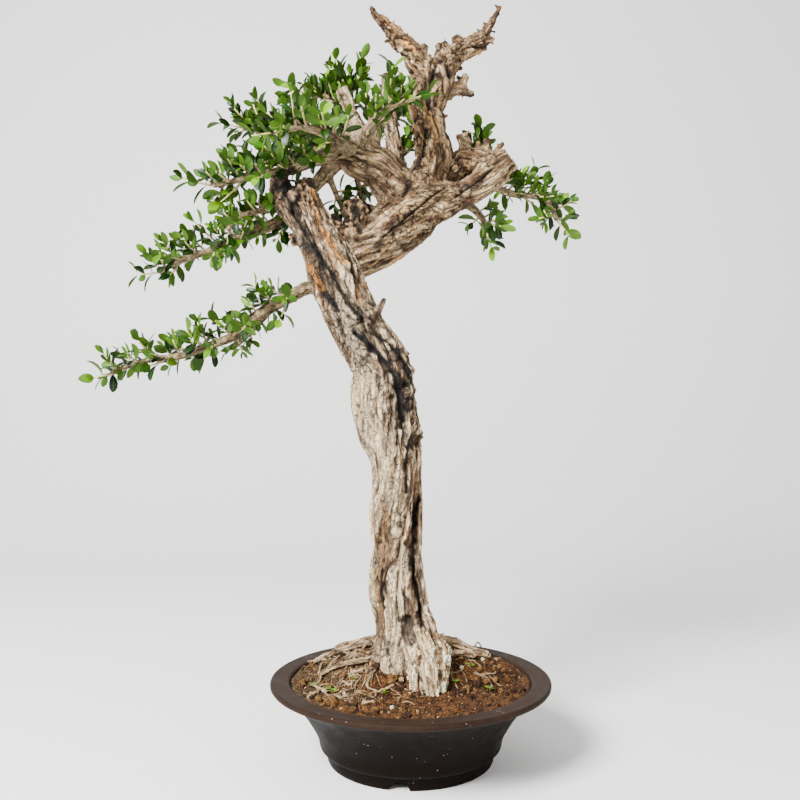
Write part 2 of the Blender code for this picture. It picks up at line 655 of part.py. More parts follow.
class Spray:
    """One twig with its leaves, one closed surface: leaves are drawn out of the twig's side faces."""

    def __init__(self, name, root, direction, length, radius=TWIG_RADIUS):
        self.name = name
        self.points = []
        self.faces = []
        self.sockets = []
        self.build_twig(root, direction, length, radius)

    def build_twig(self, root, direction, length, thick):
        """A four-sided twig. At each node two opposite side faces are kept open for a pair of leaves."""
        pairs = round(length / LEAF_SPACING)
        spacing = length / pairs
        stations = [0.0]
        for pair in range(pairs):
            end = (pair + 1) * spacing
            stations += [end - 2.0, end - 0.5]
        stations.append(length)
        bend = Vector((0, 0, 0.12))
        side = any_side(direction)
        other = direction.cross(side)
        for station in stations:
            share = station / length
            centre = root + direction * station + bend * (share * share * length)
            radius = thick * (1.0 - 0.25 * share)
            for a, b in ((-1, -1), (1, -1), (1, 1), (-1, 1)):
                self.points.append(centre + (side * a + other * b) * radius * 0.707)
        self.faces.append((3, 2, 1, 0))
        for ring in range(len(stations) - 1):
            for k in range(4):
                low, high = ring * 4 + k, ring * 4 + (k + 1) % 4
                face = (low, high, high + 4, low + 4)
                pair, is_node = divmod(ring, 2)
                if is_node and pair < pairs and k % 2 == pair % 2:
                    self.sockets.append((face, (pair + 1) / pairs))
                else:
                    self.faces.append(face)
        last = (len(stations) - 1) * 4
        self.faces.append((last, last + 1, last + 2, last + 3))

    def leaf(self, face, pitch, yaw, length):
        """Points and triangles of a blade on one side face: two stations and a tip, alike on both sides."""
        low_a, low_b, high_b, high_a = (self.points[k] for k in face)
        along = ((high_a + high_b) - (low_a + low_b)).normalized()
        across = (low_b - low_a).normalized()
        outward = across.cross(along)
        heading = (outward * math.cos(pitch) + along * math.sin(pitch)).normalized()
        heading = (heading + across * math.sin(yaw)).normalized()
        wide = (across - heading * across.dot(heading)).normalized()
        upper = heading.cross(wide) * -1
        if upper.dot(along) < 0:
            upper.negate()
        base = (low_a + low_b + high_a + high_b) / 4
        half = length * LEAF_WIDTH_SHARE / 2
        rings = [[low_a, low_b, high_b, high_a]]
        for share, width in ((0.40, 1.0), (0.76, 0.86)):
            centre = base + heading * (length * share) - upper * (length * 0.16 * share * share)
            rings.append([
                centre + wide * (half * width * a) + upper * (LEAF_THICKNESS / 2 * b)
                for a, b in ((-1, -1), (1, -1), (1, 1), (-1, 1))
            ])
        tip = base + heading * length - upper * (length * 0.16)
        points = [p for ring in rings for p in ring] + [tip]
        triangles = []
        for ring in (0, 4):
            for k in range(4):
                a, b = ring + k, ring + (k + 1) % 4
                if k == 2:
                    triangles += [(a, b, a + 4), (b, b + 4, a + 4)]
                else:
                    triangles += [(a, b, b + 4), (a, b + 4, a + 4)]
        triangles += [(8 + k, 8 + (k + 1) % 4, 12) for k in range(4)]
        return points, triangles

    def add_leaf(self, face, points, triangles):
        """Joins a blade to the twig at its side face."""
        first = len(self.points)
        self.points += points[4:]
        number = {k: face[k] for k in range(4)}
        number.update({k: first + k - 4 for k in range(4, len(points))})
        self.faces += [tuple(number[k] for k in triangle) for triangle in triangles]


def surface_tree(points, faces):
    """A search tree over some faces."""
    return BVHTree.FromPolygons([tuple(p) for p in points], faces)


def clear_of(tree, others):
    """True if the faces of a search tree cross none of the others'."""
    return not any(tree.overlap(other) for other in others)


def outside(wood_tree, point):
    """True if the point lies outside the wood."""
    surface, normal, _, _ = wood_tree.find_nearest(point)
    return (point - surface).dot(normal) > 0


class Crowd:
    """What the foliage has to stay clear of, found quickly by place."""

    CELL = 20.0

    def __init__(self):
        self.cells = {}

    def key(self, point):
        return tuple(int(math.floor(c / self.CELL)) for c in point)

    def add(self, point, tree):
        self.cells.setdefault(self.key(point), []).append(tree)

    def near(self, point):
        x, y, z = self.key(point)
        return [
            tree
            for i in (-1, 0, 1)
            for j in (-1, 0, 1)
            for k in (-1, 0, 1)
            for tree in self.cells.get((x + i, y + j, z + k), [])
        ]


def widened(points, share=1.10):
    """The points of a blade moved a little away from their middle, so that a gap is left round it."""
    middle = sum(points, Vector()) / len(points)
    return [middle + (p - middle) * share for p in points]


def seat_on_wood(wood_tree, start, direction):
    """The point where a twig leaves the wood, with its end's nearest corner just clear of the surface."""
    reach = 14.0
    surface, normal, _, _ = wood_tree.ray_cast(start + direction * reach, -direction, reach + 8.0)
    if surface is None or normal.dot(direction) < 0.6:
        return None
    upright = normal.dot(direction)
    return surface + direction * ((TWIG_SEAT + TWIG_RADIUS * math.sqrt(1 - upright**2)) / upright)


def place_twigs(wood_tree, crowd):
    """The bare twigs of all sprays, each clear of the wood and of the other twigs."""
    sprays = []
    for name, path in LIVE_BRANCHES.items():
        rng = random.Random(f"{SEED}-{name}")
        for number, (start, direction, length) in enumerate(spray_sites(name, path, rng), 1):
            for attempt in range(40):
                wander = Vector([rng.uniform(-1, 1) for _ in range(3)])
                turned = (direction + wander * 0.05 * attempt).normalized()
                root = seat_on_wood(wood_tree, start, turned)
                if root is None:
                    continue
                spray = Spray(f"spray_{name}_{number}", root, turned, length)
                thicker = Spray("thicker", root + turned, turned, length, TWIG_RADIUS + GAP)
                tree = surface_tree(thicker.points, thicker.faces)
                middle = root + turned * length / 2
                free = clear_of(tree, [wood_tree, *crowd.near(middle)])
                if free and outside(wood_tree, middle) and outside(wood_tree, root + turned * length):
                    tree = surface_tree(spray.points, spray.faces)
                    if not clear_of(tree, [wood_tree]):
                        continue
                    sprays.append(spray)
                    crowd.add(root + turned * length * 0.2, tree)
                    crowd.add(root + turned * length * 0.8, tree)
                    break
    return sprays


def grow_leaves(spray, wood_tree, crowd, rng):
    """Draws the leaves of one spray. A blade that would cross anything is tried again, turned, smaller."""
    for face, share in spray.sockets:
        for attempt in range(LEAF_TRIES):
            easing = 1.0 - 0.06 * attempt
            length = rng.uniform(*LEAF_LENGTH) * easing * (1.05 - 0.2 * share)
            pitch = math.radians(rng.uniform(18, 48) + 22 * share)
            yaw = math.radians(rng.uniform(-14, 14) * (1 + attempt / 2))
            points, triangles = spray.leaf(face, pitch, yaw, length)
            tested = [base.lerp(first, 0.2) for base, first in zip(points[:4], points[4:8])] + points[4:]
            blade = surface_tree(widened(tested), triangles)
            tip = points[-1]
            if clear_of(blade, [wood_tree, *crowd.near(tip)]) and outside(wood_tree, tip):
                spray.add_leaf(face, points, triangles)
                crowd.add(tip, blade)
                break
        else:
            spray.faces.append(face)


def make_sprays(parent, wood):
    """All the foliage: one node for each spray."""
    mesh = evaluated_mesh(wood)
    wood_tree = BVHTree.FromPolygons(
        [Vector(p) for p in mesh_points(mesh)], [tuple(face.vertices) for face in mesh.polygons]
    )
    bpy.data.meshes.remove(mesh)
    crowd = Crowd()
    sprays = place_twigs(wood_tree, crowd)
    for spray in sprays:
        grow_leaves(spray, wood_tree, crowd, random.Random(f"{SEED}-{spray.name}"))
        mesh = mesh_from(spray.name, [tuple(p) for p in spray.points], spray.faces)
        add_object(spray.name, mesh, "leaf", parent)


def centre_on_footprint(parent):
    """Moves the whole model so that the middle of its width and depth lies on the origin."""
    bpy.context.view_layer.update()
    graph = bpy.context.evaluated_depsgraph_get()
    low, high = Vector((1, 1, 1)), Vector((-1, -1, -1))
    for obj in collection(COLLECTION).objects:
        if obj.type == "EMPTY":
            continue
        mesh = obj.evaluated_get(graph).to_mesh()
        for vertex in mesh.vertices:
            low = Vector(map(min, low, vertex.co))
            high = Vector(map(max, high, vertex.co))
    parent.location = (-(low.x + high.x) / 2, -(low.y + high.y) / 2, 0)


def main():
    clear_scene()
    base = bpy.data.objects.new("bonsai", None)
    collection(COLLECTION).objects.link(base)
    make_pot(base)
    make_drain_mesh(base)
    wood = make_wood(base)
    _, wire_holes = make_tie_wire(base)
    make_soil(base, make_stump_cutters(base) + wire_holes)
    make_sprays(base, wood)
    centre_on_footprint(base)


main()
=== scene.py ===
import math
import random

import bpy
import numpy as np
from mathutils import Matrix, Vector
from mathutils.bvhtree import BVHTree


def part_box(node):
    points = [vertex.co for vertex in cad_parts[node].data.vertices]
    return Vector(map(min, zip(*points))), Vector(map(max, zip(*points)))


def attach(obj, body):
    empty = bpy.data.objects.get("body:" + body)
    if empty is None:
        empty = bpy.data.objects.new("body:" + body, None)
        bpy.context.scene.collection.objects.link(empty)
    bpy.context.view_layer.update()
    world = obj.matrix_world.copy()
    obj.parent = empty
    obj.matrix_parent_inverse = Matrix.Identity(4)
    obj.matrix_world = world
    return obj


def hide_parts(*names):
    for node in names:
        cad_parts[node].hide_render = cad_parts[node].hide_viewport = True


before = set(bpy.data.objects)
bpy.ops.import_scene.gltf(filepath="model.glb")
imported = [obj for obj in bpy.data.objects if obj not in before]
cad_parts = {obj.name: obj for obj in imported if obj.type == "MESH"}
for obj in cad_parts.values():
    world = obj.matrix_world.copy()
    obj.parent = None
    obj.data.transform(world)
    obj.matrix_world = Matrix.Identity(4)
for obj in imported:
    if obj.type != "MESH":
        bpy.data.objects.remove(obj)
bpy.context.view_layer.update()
potLow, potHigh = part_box("pot")
potX = 500 * (potLow[0] + potHigh[0])  # middle of the pot, from metres to mm


# A colour as eyes read it (0 to 255) turned into the linear values that shaders take.
def srgb(red, green, blue):
    share = np.array([red, green, blue]) / 255.0
    return np.where(share <= 0.04045, share / 12.92, ((share + 0.055) / 1.055) ** 2.4)


# 0 below low, 1 above high, and a smooth rise between.
def rise(low, high, value):
    share = np.clip((value - low) / (high - low), 0, 1)
    return share * share * (3 - 2 * share)


# Mix of two colours, or arrays of colours, by a share for each point.
def blendColours(first, second, share):
    return first + (second - first) * share[:, None]


# Colours with a fourth value for each point.
def withAlpha(tint, alpha=1.0):
    return np.column_stack([tint, np.broadcast_to(alpha, len(tint))])


# A scrambled number from 0 to 1 for each whole-number place.
def scramble(x, y, z, seed):
    code = (x * 374761393 + y * 668265263 + z * 1103515245 + seed * 974634777) & 0xFFFFFFFF
    code = ((code ^ (code >> 13)) * 1274126177) & 0xFFFFFFFF
    return (code ^ (code >> 16)) / 4294967295.0


# Smooth noise from -1 to 1: scrambled values at whole-number places, blended between them.
def noise(points, seed=0):
    cell = np.floor(points).astype(np.int64)
    part = points - cell
    part = part * part * part * (part * (part * 6 - 15) + 10)
    total = 0.0
    for corner in range(8):
        i, j, k = corner & 1, corner >> 1 & 1, corner >> 2
        weight = 1.0
        for axis, far in enumerate((i, j, k)):
            weight = weight * (part[:, axis] if far else 1 - part[:, axis])
        total = total + weight * scramble(cell[:, 0] + i, cell[:, 1] + j, cell[:, 2] + k, seed)
    return total * 2 - 1


# A random shift for each point: one noise for each axis.
def drift(points, seeds):
    return np.stack([noise(points, seed) for seed in seeds], 1)


# Noise summed over halving scales.
def fractal(points, octaves, seed=0):
    total, size = 0.0, 1.0
    for octave in range(octaves):
        total = total + noise(points, seed + octave * 17) * size
        points = points * 2.03 + 11.3
        size *= 0.5
    return total / (2 - 2 * size)


# Sharp ridges from 0 to 1: one minus the size of the noise, summed over halving scales.
def ridges(points, octaves, seed=0):
    total, size = 0.0, 1.0
    for octave in range(octaves):
        total = total + (1 - np.abs(noise(points, seed + octave * 13)) * 1.9).clip(0, 1) ** 2 * size
        points = points * 2.1 + 5.7
        size *= 0.5
    return total / (2 - 2 * size)


# Thin lines from 0 to 1 where the noise crosses zero, broken up where a slower noise is low.
def lineCracks(points, width, seed=0):
    broken = rise(-0.15, 0.25, noise(points * 0.43 + 9, seed + 1))
    return (1 - rise(0, width, np.abs(noise(points, seed)))) * broken


# Distances to the nearest and second nearest of one scattered point per cell, and the nearest's number.
def cells(points, seed=0):
    home = np.floor(points).astype(np.int64)
    first = np.full(len(points), 9.0)
    second = np.full(len(points), 9.0)
    own = np.zeros(len(points))
    for step in range(27):
        at = home + np.array([step % 3 - 1, step // 3 % 3 - 1, step // 9 - 1])
        seeds = [scramble(at[:, 0], at[:, 1], at[:, 2], seed + part) for part in (1, 2, 3)]
        far = np.sqrt(sum((at[:, axis] + seeds[axis] - points[:, axis]) ** 2 for axis in range(3)))
        nearer = far < first
        second = np.where(nearer, first, np.minimum(second, far))
        own = np.where(nearer, seeds[0], own)
        first = np.where(nearer, far, first)
    return first, second, own


# Distance of each point from a straight piece between two ends.
def fromSegment(points, start, end):
    start, end = np.array(start, float), np.array(end, float)
    line = end - start
    share = np.clip((points - start) @ line / (line @ line), 0, 1)
    return np.linalg.norm(points - start - share[:, None] * line, axis=1)


# One field of a mesh's elements, as rows of the given number of columns.
def readField(items, field, columns, kind=np.float32):
    values = np.empty(len(items) * columns, kind)
    items.foreach_get(field, values)
    return values.reshape(-1, columns)


# A CAD node's points, from metres to mm from the pot's axis.
def pointsOf(node):
    world = np.array(node.matrix_world)
    at = readField(node.data.vertices, "co", 3)
    return (at @ world[:3, :3].T + world[:3, 3]) * 1000 - np.array([potX, 0, 0])


# A mesh object from arrays: points in mm, faces as rows of equal length (or a list of such arrays).
def makePiece(name, points, faces, material, slotName, replaced=(), sharpDegrees=None, **attributes):
    faces = [np.asarray(group, np.int32) for group in (faces if isinstance(faces, list) else [faces])]
    mesh = bpy.data.meshes.new(name)
    world = (np.asarray(points, float) + np.array([potX, 0, 0])) * 0.001
    mesh.vertices.add(len(world))
    mesh.vertices.foreach_set("co", world.astype(np.float32).ravel())
    corners = np.concatenate([group.ravel() for group in faces])
    sizes = np.concatenate([np.full(len(group), group.shape[1]) for group in faces])
    mesh.loops.add(len(corners))
    mesh.loops.foreach_set("vertex_index", corners)
    mesh.polygons.add(len(sizes))
    mesh.polygons.foreach_set("loop_start", np.concatenate([[0], np.cumsum(sizes)[:-1]]).astype(np.int32))
    mesh.update(calc_edges=True)
    for key, values in attributes.items():
        values = np.asarray(values, np.float32)
        domain = "POINT" if len(values) == len(world) else "FACE"
        kind = {1: "FLOAT", 3: "FLOAT_VECTOR", 4: "FLOAT_COLOR"}[values.shape[1] if values.ndim > 1 else 1]
        field = {"FLOAT": "value", "FLOAT_VECTOR": "vector", "FLOAT_COLOR": "color"}[kind]
        mesh.attributes.new(key, kind, domain).data.foreach_set(field, values.ravel())
    mesh.polygons.foreach_set("use_smooth", np.full(len(sizes), True))
    if sharpDegrees:
        mesh.set_sharp_from_angle(angle=math.radians(sharpDegrees))
    mesh.materials.append(material)
    piece = bpy.data.objects.new(name, mesh)
    bpy.context.scene.collection.objects.link(piece)
    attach(piece, "root")
    if replaced:
        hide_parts(*replaced)
    return piece


# A smooth curve through the points (Catmull-Rom), resampled about every step: rows of (x, y, z, radius).
def smoothPath(points, step):
    keys = np.asarray(points, float)
    keys = np.vstack([2 * keys[0] - keys[1], keys, 2 * keys[-1] - keys[-2]])
    rows = []
    for p0, p1, p2, p3 in zip(keys, keys[1:], keys[2:], keys[3:]):
        count = max(1, round(np.linalg.norm(p2[:3] - p1[:3]) / step))
        t = np.linspace(0, 1, count, endpoint=False)[:, None]
        squared, cubed = 2 * p0 - 5 * p1 + 4 * p2 - p3, 3 * p1 - p0 - 3 * p2 + p3
        rows.append(0.5 * (2 * p1 + (p2 - p0) * t + squared * t**2 + cubed * t**3))
    rows.append(keys[-2][None, :])
    return np.vstack(rows)


# Tangents and two side vectors carried along a path without twisting, and the length so far.
def framesAlong(centres):
    tangents = np.gradient(centres, axis=0)
    tangents /= np.linalg.norm(tangents, axis=1)[:, None]
    side = np.array([1.0, 0.0, 0.0]) if abs(tangents[0][0]) < 0.9 else np.array([0.0, 1.0, 0.0])
    sides = []
    for tangent in tangents:
        side = side - tangent * (side @ tangent)
        side = side / np.linalg.norm(side)
        sides.append(side)
    sides = np.array(sides)
    along = np.concatenate([[0], np.cumsum(np.linalg.norm(np.diff(centres, axis=0), axis=1))])
    return tangents, sides, np.cross(tangents, sides), along


# Quads between equal rings of points, with the two ends closed by fans to the first point of each end.
def ringFaces(rings, sides):
    ring, k = np.meshgrid(np.arange(rings - 1), np.arange(sides), indexing="ij")
    low, after = ring * sides, (k + 1) % sides
    quads = np.stack([low + k, low + after, low + sides + after, low + sides + k], -1).reshape(-1, 4)
    fan = np.arange(1, sides - 1)
    last = (rings - 1) * sides
    start = np.stack([0 * fan, fan + 1, fan], 1)
    end = np.stack([last + 0 * fan, last + fan, last + fan + 1], 1)
    return quads, np.concatenate([start, end])


# A closed tube round a path. Its outline has three and five lobes that turn by a radian each lobeTurn.
def tube(rows, sides, lobes=0.0, phase=0.0):
    lobeTurn = 45.0
    centres, radii = rows[:, :3], rows[:, 3]
    _, sideA, sideB, along = framesAlong(centres)
    angle = np.linspace(0, 2 * math.pi, sides, endpoint=False)[None, :]
    turn = along[:, None] / lobeTurn + phase
    outline = 0.6 * np.cos(3 * angle + turn) + 0.4 * np.cos(5 * angle - 1.6 * turn + 1.0)
    reach = radii[:, None] * (1 + lobes * outline)
    points = centres[:, None, :] + reach[..., None] * (
        np.cos(angle)[..., None] * sideA[:, None, :] + np.sin(angle)[..., None] * sideB[:, None, :]
    )
    return points.reshape(-1, 3), *ringFaces(len(rows), sides)


# Many tubes as one set of points and faces, with each point's share of its tube's length.
def joinTubes(paths, sides):
    points, quads, caps, shares, first = [], [], [], [], 0
    for rows in paths:
        p, q, c = tube(rows, sides)
        points.append(p)
        quads.append(q + first)
        caps.append(c + first)
        shares.append(np.repeat(np.linspace(0, 1, len(rows)), sides))
        first += len(p)
    return np.vstack(points), [np.vstack(quads), np.vstack(caps)], np.concatenate(shares)


# A material whose Principled shader is fed by the given function, which gets helpers to add nodes.
def makeMaterial(name, feed, **sockets):
    material = bpy.data.materials.new(name)
    material.use_nodes = True
    tree = material.node_tree
    shader = tree.nodes["Principled BSDF"]

    def put(socket, value):
        if isinstance(value, bpy.types.NodeSocket):
            tree.links.new(value, socket)
        else:
            socket.default_value = value

    # inputs are named, with _ for a space, or numbered: n0, n1
    def node(kind, settings=None, **inputs):
        made = tree.nodes.new(kind)
        for key, value in (settings or {}).items():
            setattr(made, key, value)
        for key, value in inputs.items():
            numbered = key[0] == "n" and key[1:].isdigit()
            put(made.inputs[int(key[1:]) if numbered else key.replace("_", " ")], value)
        return made

    for key, value in sockets.items():
        put(shader.inputs[key.replace("_", " ")], value)
    feed(node, lambda socketName, value: put(shader.inputs[socketName], value))
    return material


# The place on the piece, in metres.
def objectPlace(node):
    return node("ShaderNodeTexCoord").outputs["Object"]


# What a mesh attribute gives: its colour, vector, factor or alpha.
def attributeOf(node, name, output="Color"):
    return node("ShaderNodeAttribute", {"attribute_name": name}).outputs[output]


# A vector stretched by a scale for each axis.
def stretched(node, vector, scale):
    return node("ShaderNodeMapping", Vector=vector, Scale=scale).outputs[0]


# Noise at a scale (per metre, or per unit of the given vector).
def grainNoise(node, vector, scale, detail=3.0, rough=0.6):
    return node("ShaderNodeTexNoise", Vector=vector, Scale=scale, Detail=detail, Roughness=rough).outputs[0]


# A value moved from one range to another, held at the ends.
def remap(node, value, low, high, toLow, toHigh):
    return node("ShaderNodeMapRange", n0=value, n1=low, n2=high, n3=toLow, n4=toHigh).outputs[0]


# Two or three values put through one of the Math node's operations.
def worked(node, operation, *values):
    inputs = {f"n{index}": value for index, value in enumerate(values)}
    return node("ShaderNodeMath", {"operation": operation}, **inputs).outputs[0]


# Two colours mixed, or multiplied together, by a share.
def mixed(node, first, second, share, mode="MIX"):
    made = node("ShaderNodeMix", {"data_type": "RGBA", "blend_type": mode})
    for index, value in ((0, share), (6, first), (7, second)):
        if isinstance(value, bpy.types.NodeSocket):
            made.id_data.links.new(value, made.inputs[index])
        elif index:
            made.inputs[index].default_value = (*value[:3], 1.0)
        else:
            made.inputs[index].default_value = value
    return made.outputs[2]


# A colour times a value.
def shaded(node, colour, value):
    grey = node("ShaderNodeCombineColor", n0=value, n1=value, n2=value).outputs[0]
    return mixed(node, colour, grey, 1.0, "MULTIPLY")


# Surface relief from a height value; the distance is in metres.
def bumped(node, height, distance, strength=1.0):
    return node("ShaderNodeBump", Strength=strength, Distance=distance, Height=height).outputs["Normal"]


# One colour with a faint fine mottle.
def feedPlain(colour):
    def feed(node, put):
        mottle = grainNoise(node, objectPlace(node), 400.0)
        put("Base Color", mixed(node, colour * 0.8, colour * 1.2, mottle))

    return feed


studio = {
    "cameraPlace": (-8.4, -666.0, 262.0),
    "focalMm": 37.53,
    "sensorMm": 36.0,
    "shiftUp": 0.035,
    "lightsAim": (-20.0, 0.0, 320.0),
    "keyPlace": (-1000.0, -1150.0, 1350.0),
    "keySize": 0.7,
    "keyWatts": 150.0,
    "fillPlace": (1100.0, -800.0, 600.0),
    "fillSize": 1.4,
    "fillWatts": 10.0,
    "worldGrey": 0.9,
    "worldStrength": 0.72,
    # floor and backdrop, in metres
    "floorGrey": (0.8624, 0.8526, 0.8428),
    "floorHalfWidth": 6.0,
    "floorFront": -4.0,
    "bendStart": 0.9,
    "bendRadius": 0.6,
    "bendSteps": 16,
    "backdropTop": 5.0,
}


# A place in mm from the pot's axis, in metres.
def inMetres(place):
    return Vector(((place[0] + potX) * 0.001, place[1] * 0.001, place[2] * 0.001))


# Camera level with the middle of the trunk, two soft lights, a grey sky, and paper that bends up behind.
def setStudio():
    camera = bpy.data.objects.new("camera", bpy.data.cameras.new("camera"))
    camera.location = inMetres(studio["cameraPlace"])
    camera.rotation_euler = (math.pi / 2, 0, 0)
    camera.data.lens = studio["focalMm"]
    camera.data.sensor_width = studio["sensorMm"]
    camera.data.shift_y = studio["shiftUp"]
    camera.data.clip_start = 0.01
    bpy.context.scene.collection.objects.link(camera)
    bpy.context.scene.camera = camera
    for name in ("key", "fill"):
        light = bpy.data.objects.new(name, bpy.data.lights.new(name, "AREA"))
        light.data.energy = studio[name + "Watts"]
        light.data.size = studio[name + "Size"]
        light.location = inMetres(studio[name + "Place"])
        away = inMetres(studio["lightsAim"]) - light.location
        light.rotation_euler = away.to_track_quat("-Z", "Y").to_euler()
        bpy.context.scene.collection.objects.link(light)
    world = bpy.data.worlds.new("studio")
    bpy.context.scene.world = world
    world.use_nodes = True
    sky = world.node_tree.nodes["Background"]
    sky.inputs["Color"].default_value = (*[studio["worldGrey"]] * 3, 1.0)
    sky.inputs["Strength"].default_value = studio["worldStrength"]
    floorMesh = bpy.data.meshes.new("floor")
    turn = np.linspace(0, math.pi / 2, studio["bendSteps"])
    start, radius, halfWidth = studio["bendStart"], studio["bendRadius"], studio["floorHalfWidth"]
    bend = [(start + radius * math.sin(a), radius - radius * math.cos(a)) for a in turn]
    profile = [(studio["floorFront"], 0.0), *bend, (start + radius, studio["backdropTop"])]
    points = [(x, y, z) for y, z in profile for x in (-halfWidth, halfWidth)]
    faces = [(2 * k, 2 * k + 1, 2 * k + 3, 2 * k + 2) for k in range(len(profile) - 1)]
    floorMesh.from_pydata(points, [], faces)
    floorMesh.polygons.foreach_set("use_smooth", [True] * len(floorMesh.polygons))
    floorMesh.materials.append(makeMaterial("paper", feedPlain(np.array(studio["floorGrey"])), Roughness=0.9))
    floor = bpy.data.objects.new("floor", floorMesh)
    bpy.context.scene.collection.objects.link(floor)


potShape = {
    # the profile down the outside and up the inside: radius, height
    "outside": [
        (95.5, 62.4), (96.6, 63.4), (98.0, 63.7), (103.0, 63.5), (108.0, 63.7), (109.8, 63.9),
        (110.7, 63.3), (111.0, 62.2), (110.9, 60.8), (110.0, 59.6), (108.4, 58.7), (105.0, 57.6),
        (102.0, 56.4), (98.6, 54.2), (94.5, 50.9), (90.6, 47.2), (87.0, 42.9), (83.6, 38.3), (80.5, 33.3),
        (77.9, 29.0), (75.6, 24.8),
        (74.2, 21.8), (73.2, 18.8), (72.7, 16.5), (72.3, 14.0), (71.6, 12.2), (70.4, 11.0), (68.6, 10.5),
        (67.3, 10.1), (66.7, 9.2), (66.4, 6.0), (65.9, 2.0), (65.4, 0.7), (64.6, 0.15), (63.0, 0.0),
    ],
    "inside": [
        (58.6, 0.0), (57.4, 0.4), (56.9, 1.4), (56.0, 6.2), (54.0, 6.6), (30.0, 6.5), (9.0, 6.5), (8.0, 7.2),
        (8.0, 12.4), (9.0, 13.0), (58.0, 13.0), (64.5, 16.0), (70.0, 26.0), (79.0, 40.5), (89.0, 52.5),
        (94.0, 59.0), (95.2, 61.0),
    ],
    "steps": 240,
    "footRadius": 61.5,
    "footWall": (56.5, 67.0),
    "footTop": 9.5,
    # arches cut in the foot, with finer steps over some degrees each side
    "archAngles": (-98.0, 22.0, 142.0),
    "archRadius": 7.2,
    "archDegrees": 8.0,
    "archSteps": 33,
    # unevenness of the turned clay, above this height
    "uneven": 0.10,
    "unevenFrom": 12.0,
    # clay colours, and pattern scales per metre
    "clay": ((31, 21, 15), (46, 33, 25)),
    "line": (24, 17, 13),
    # painted shade for the bowl below the flange
    "bowl": (8, 5, 3),
    "speck": (170, 156, 136),
    "lineScale": (4.0, 4.0, 900.0),
    "mottleScale": 60.0,
    "speckScale": 330.0,
    "rareScale": 140.0,
    "fineScale": 900.0,
    "relief": 0.00025,
}


# Clay: turning lines round the pot, faint mottling and pale specks; the bowl below the flange is darkened by
# painted shade.
def feedClay(node, put):
    place = objectPlace(node)
    height = node("ShaderNodeSeparateXYZ", Vector=place).outputs["Z"]
    lines = grainNoise(node, stretched(node, place, potShape["lineScale"]), 1.0, 2.0)
    mottle = grainNoise(node, place, potShape["mottleScale"], 5.0, 0.65)
    fine = grainNoise(node, place, potShape["fineScale"], 2.0)
    specks = node("ShaderNodeTexVoronoi", Vector=place, Scale=potShape["speckScale"]).outputs["Distance"]
    rare = grainNoise(node, place, potShape["rareScale"], 1.0)
    dark, light = (srgb(*colour) for colour in potShape["clay"])
    base = mixed(node, dark, light, remap(node, mottle, 0.3, 0.7, 0.0, 1.0))
    lined = mixed(node, base, srgb(*potShape["line"]), remap(node, lines, 0.45, 0.75, 0.0, 0.45))
    # painted shade: the bowl below the flange darkened to a near-black colour
    lined = mixed(node, lined, srgb(*potShape["bowl"]), remap(node, height, 0.0595, 0.054, 0.0, 0.92))
    near, chosen = remap(node, specks, 0.10, 0.16, 1.0, 0.0), remap(node, rare, 0.62, 0.68, 0.0, 0.8)
    isSpeck = worked(node, "MULTIPLY", near, chosen)
    put("Base Color", mixed(node, lined, srgb(*potShape["speck"]), isSpeck))
    put("Roughness", remap(node, mottle, 0.3, 0.7, 0.46, 0.66))
    put("Normal", bumped(node, worked(node, "MULTIPLY_ADD", lines, 0.7, fine), potShape["relief"], 0.6))


clayMaterial = makeMaterial("potClay", feedClay, Specular_IOR_Level=0.04)


# The pot: a fine profile turned round the axis. Near the arches the foot's lower edge lifts to a half circle.
def makePot():
    profile = np.array(potShape["outside"] + potShape["inside"])
    angles = np.linspace(-180, 180, potShape["steps"], endpoint=False)
    offsets = np.linspace(-potShape["archDegrees"], potShape["archDegrees"], potShape["archSteps"])
    near = [centre + offset for centre in potShape["archAngles"] for offset in offsets]
    angles = np.unique(np.round(np.concatenate([angles, near]), 4))
    turn = np.radians(angles)
    radius, height = np.broadcast_arrays(profile[:, 0], profile[:, 1])
    away = np.min([np.abs((angles - centre + 180) % 360 - 180) for centre in potShape["archAngles"]], axis=0)
    arc = np.radians(away) * potShape["footRadius"]
    archRadius = potShape["archRadius"]
    lift = np.sqrt(np.clip(archRadius**2 - arc**2, 0, None)) * 0.97
    z = np.tile(height, (len(turn), 1))
    inner, outer = potShape["footWall"]
    inFoot = (radius > inner) & (radius < outer) & (height < potShape["footTop"])
    z[:, inFoot] = np.maximum(z[:, inFoot], np.minimum(lift[:, None], archRadius))
    wobble = potShape["uneven"] * noise(np.stack([np.cos(turn) * 3, np.sin(turn) * 3, 0 * turn], 1), 5)
    r = radius[None, :] + wobble[:, None] * (height[None, :] > potShape["unevenFrom"])
    points = np.stack([r * np.cos(turn)[:, None], r * np.sin(turn)[:, None], z], -1)
    count = len(profile)
    i, j = np.meshgrid(np.arange(len(turn)), np.arange(count), indexing="ij")
    nextTurn, nextRow = (i + 1) % len(turn), (j + 1) % count
    corners = (i * count + j, i * count + nextRow, nextTurn * count + nextRow, nextTurn * count + j)
    faces = np.stack(corners, -1)
    points, faces = points.reshape(-1, 3), faces.reshape(-1, 4)
    makePiece("potPiece", points, faces, clayMaterial, "pot_clay", ["pot"], sharpDegrees=50)


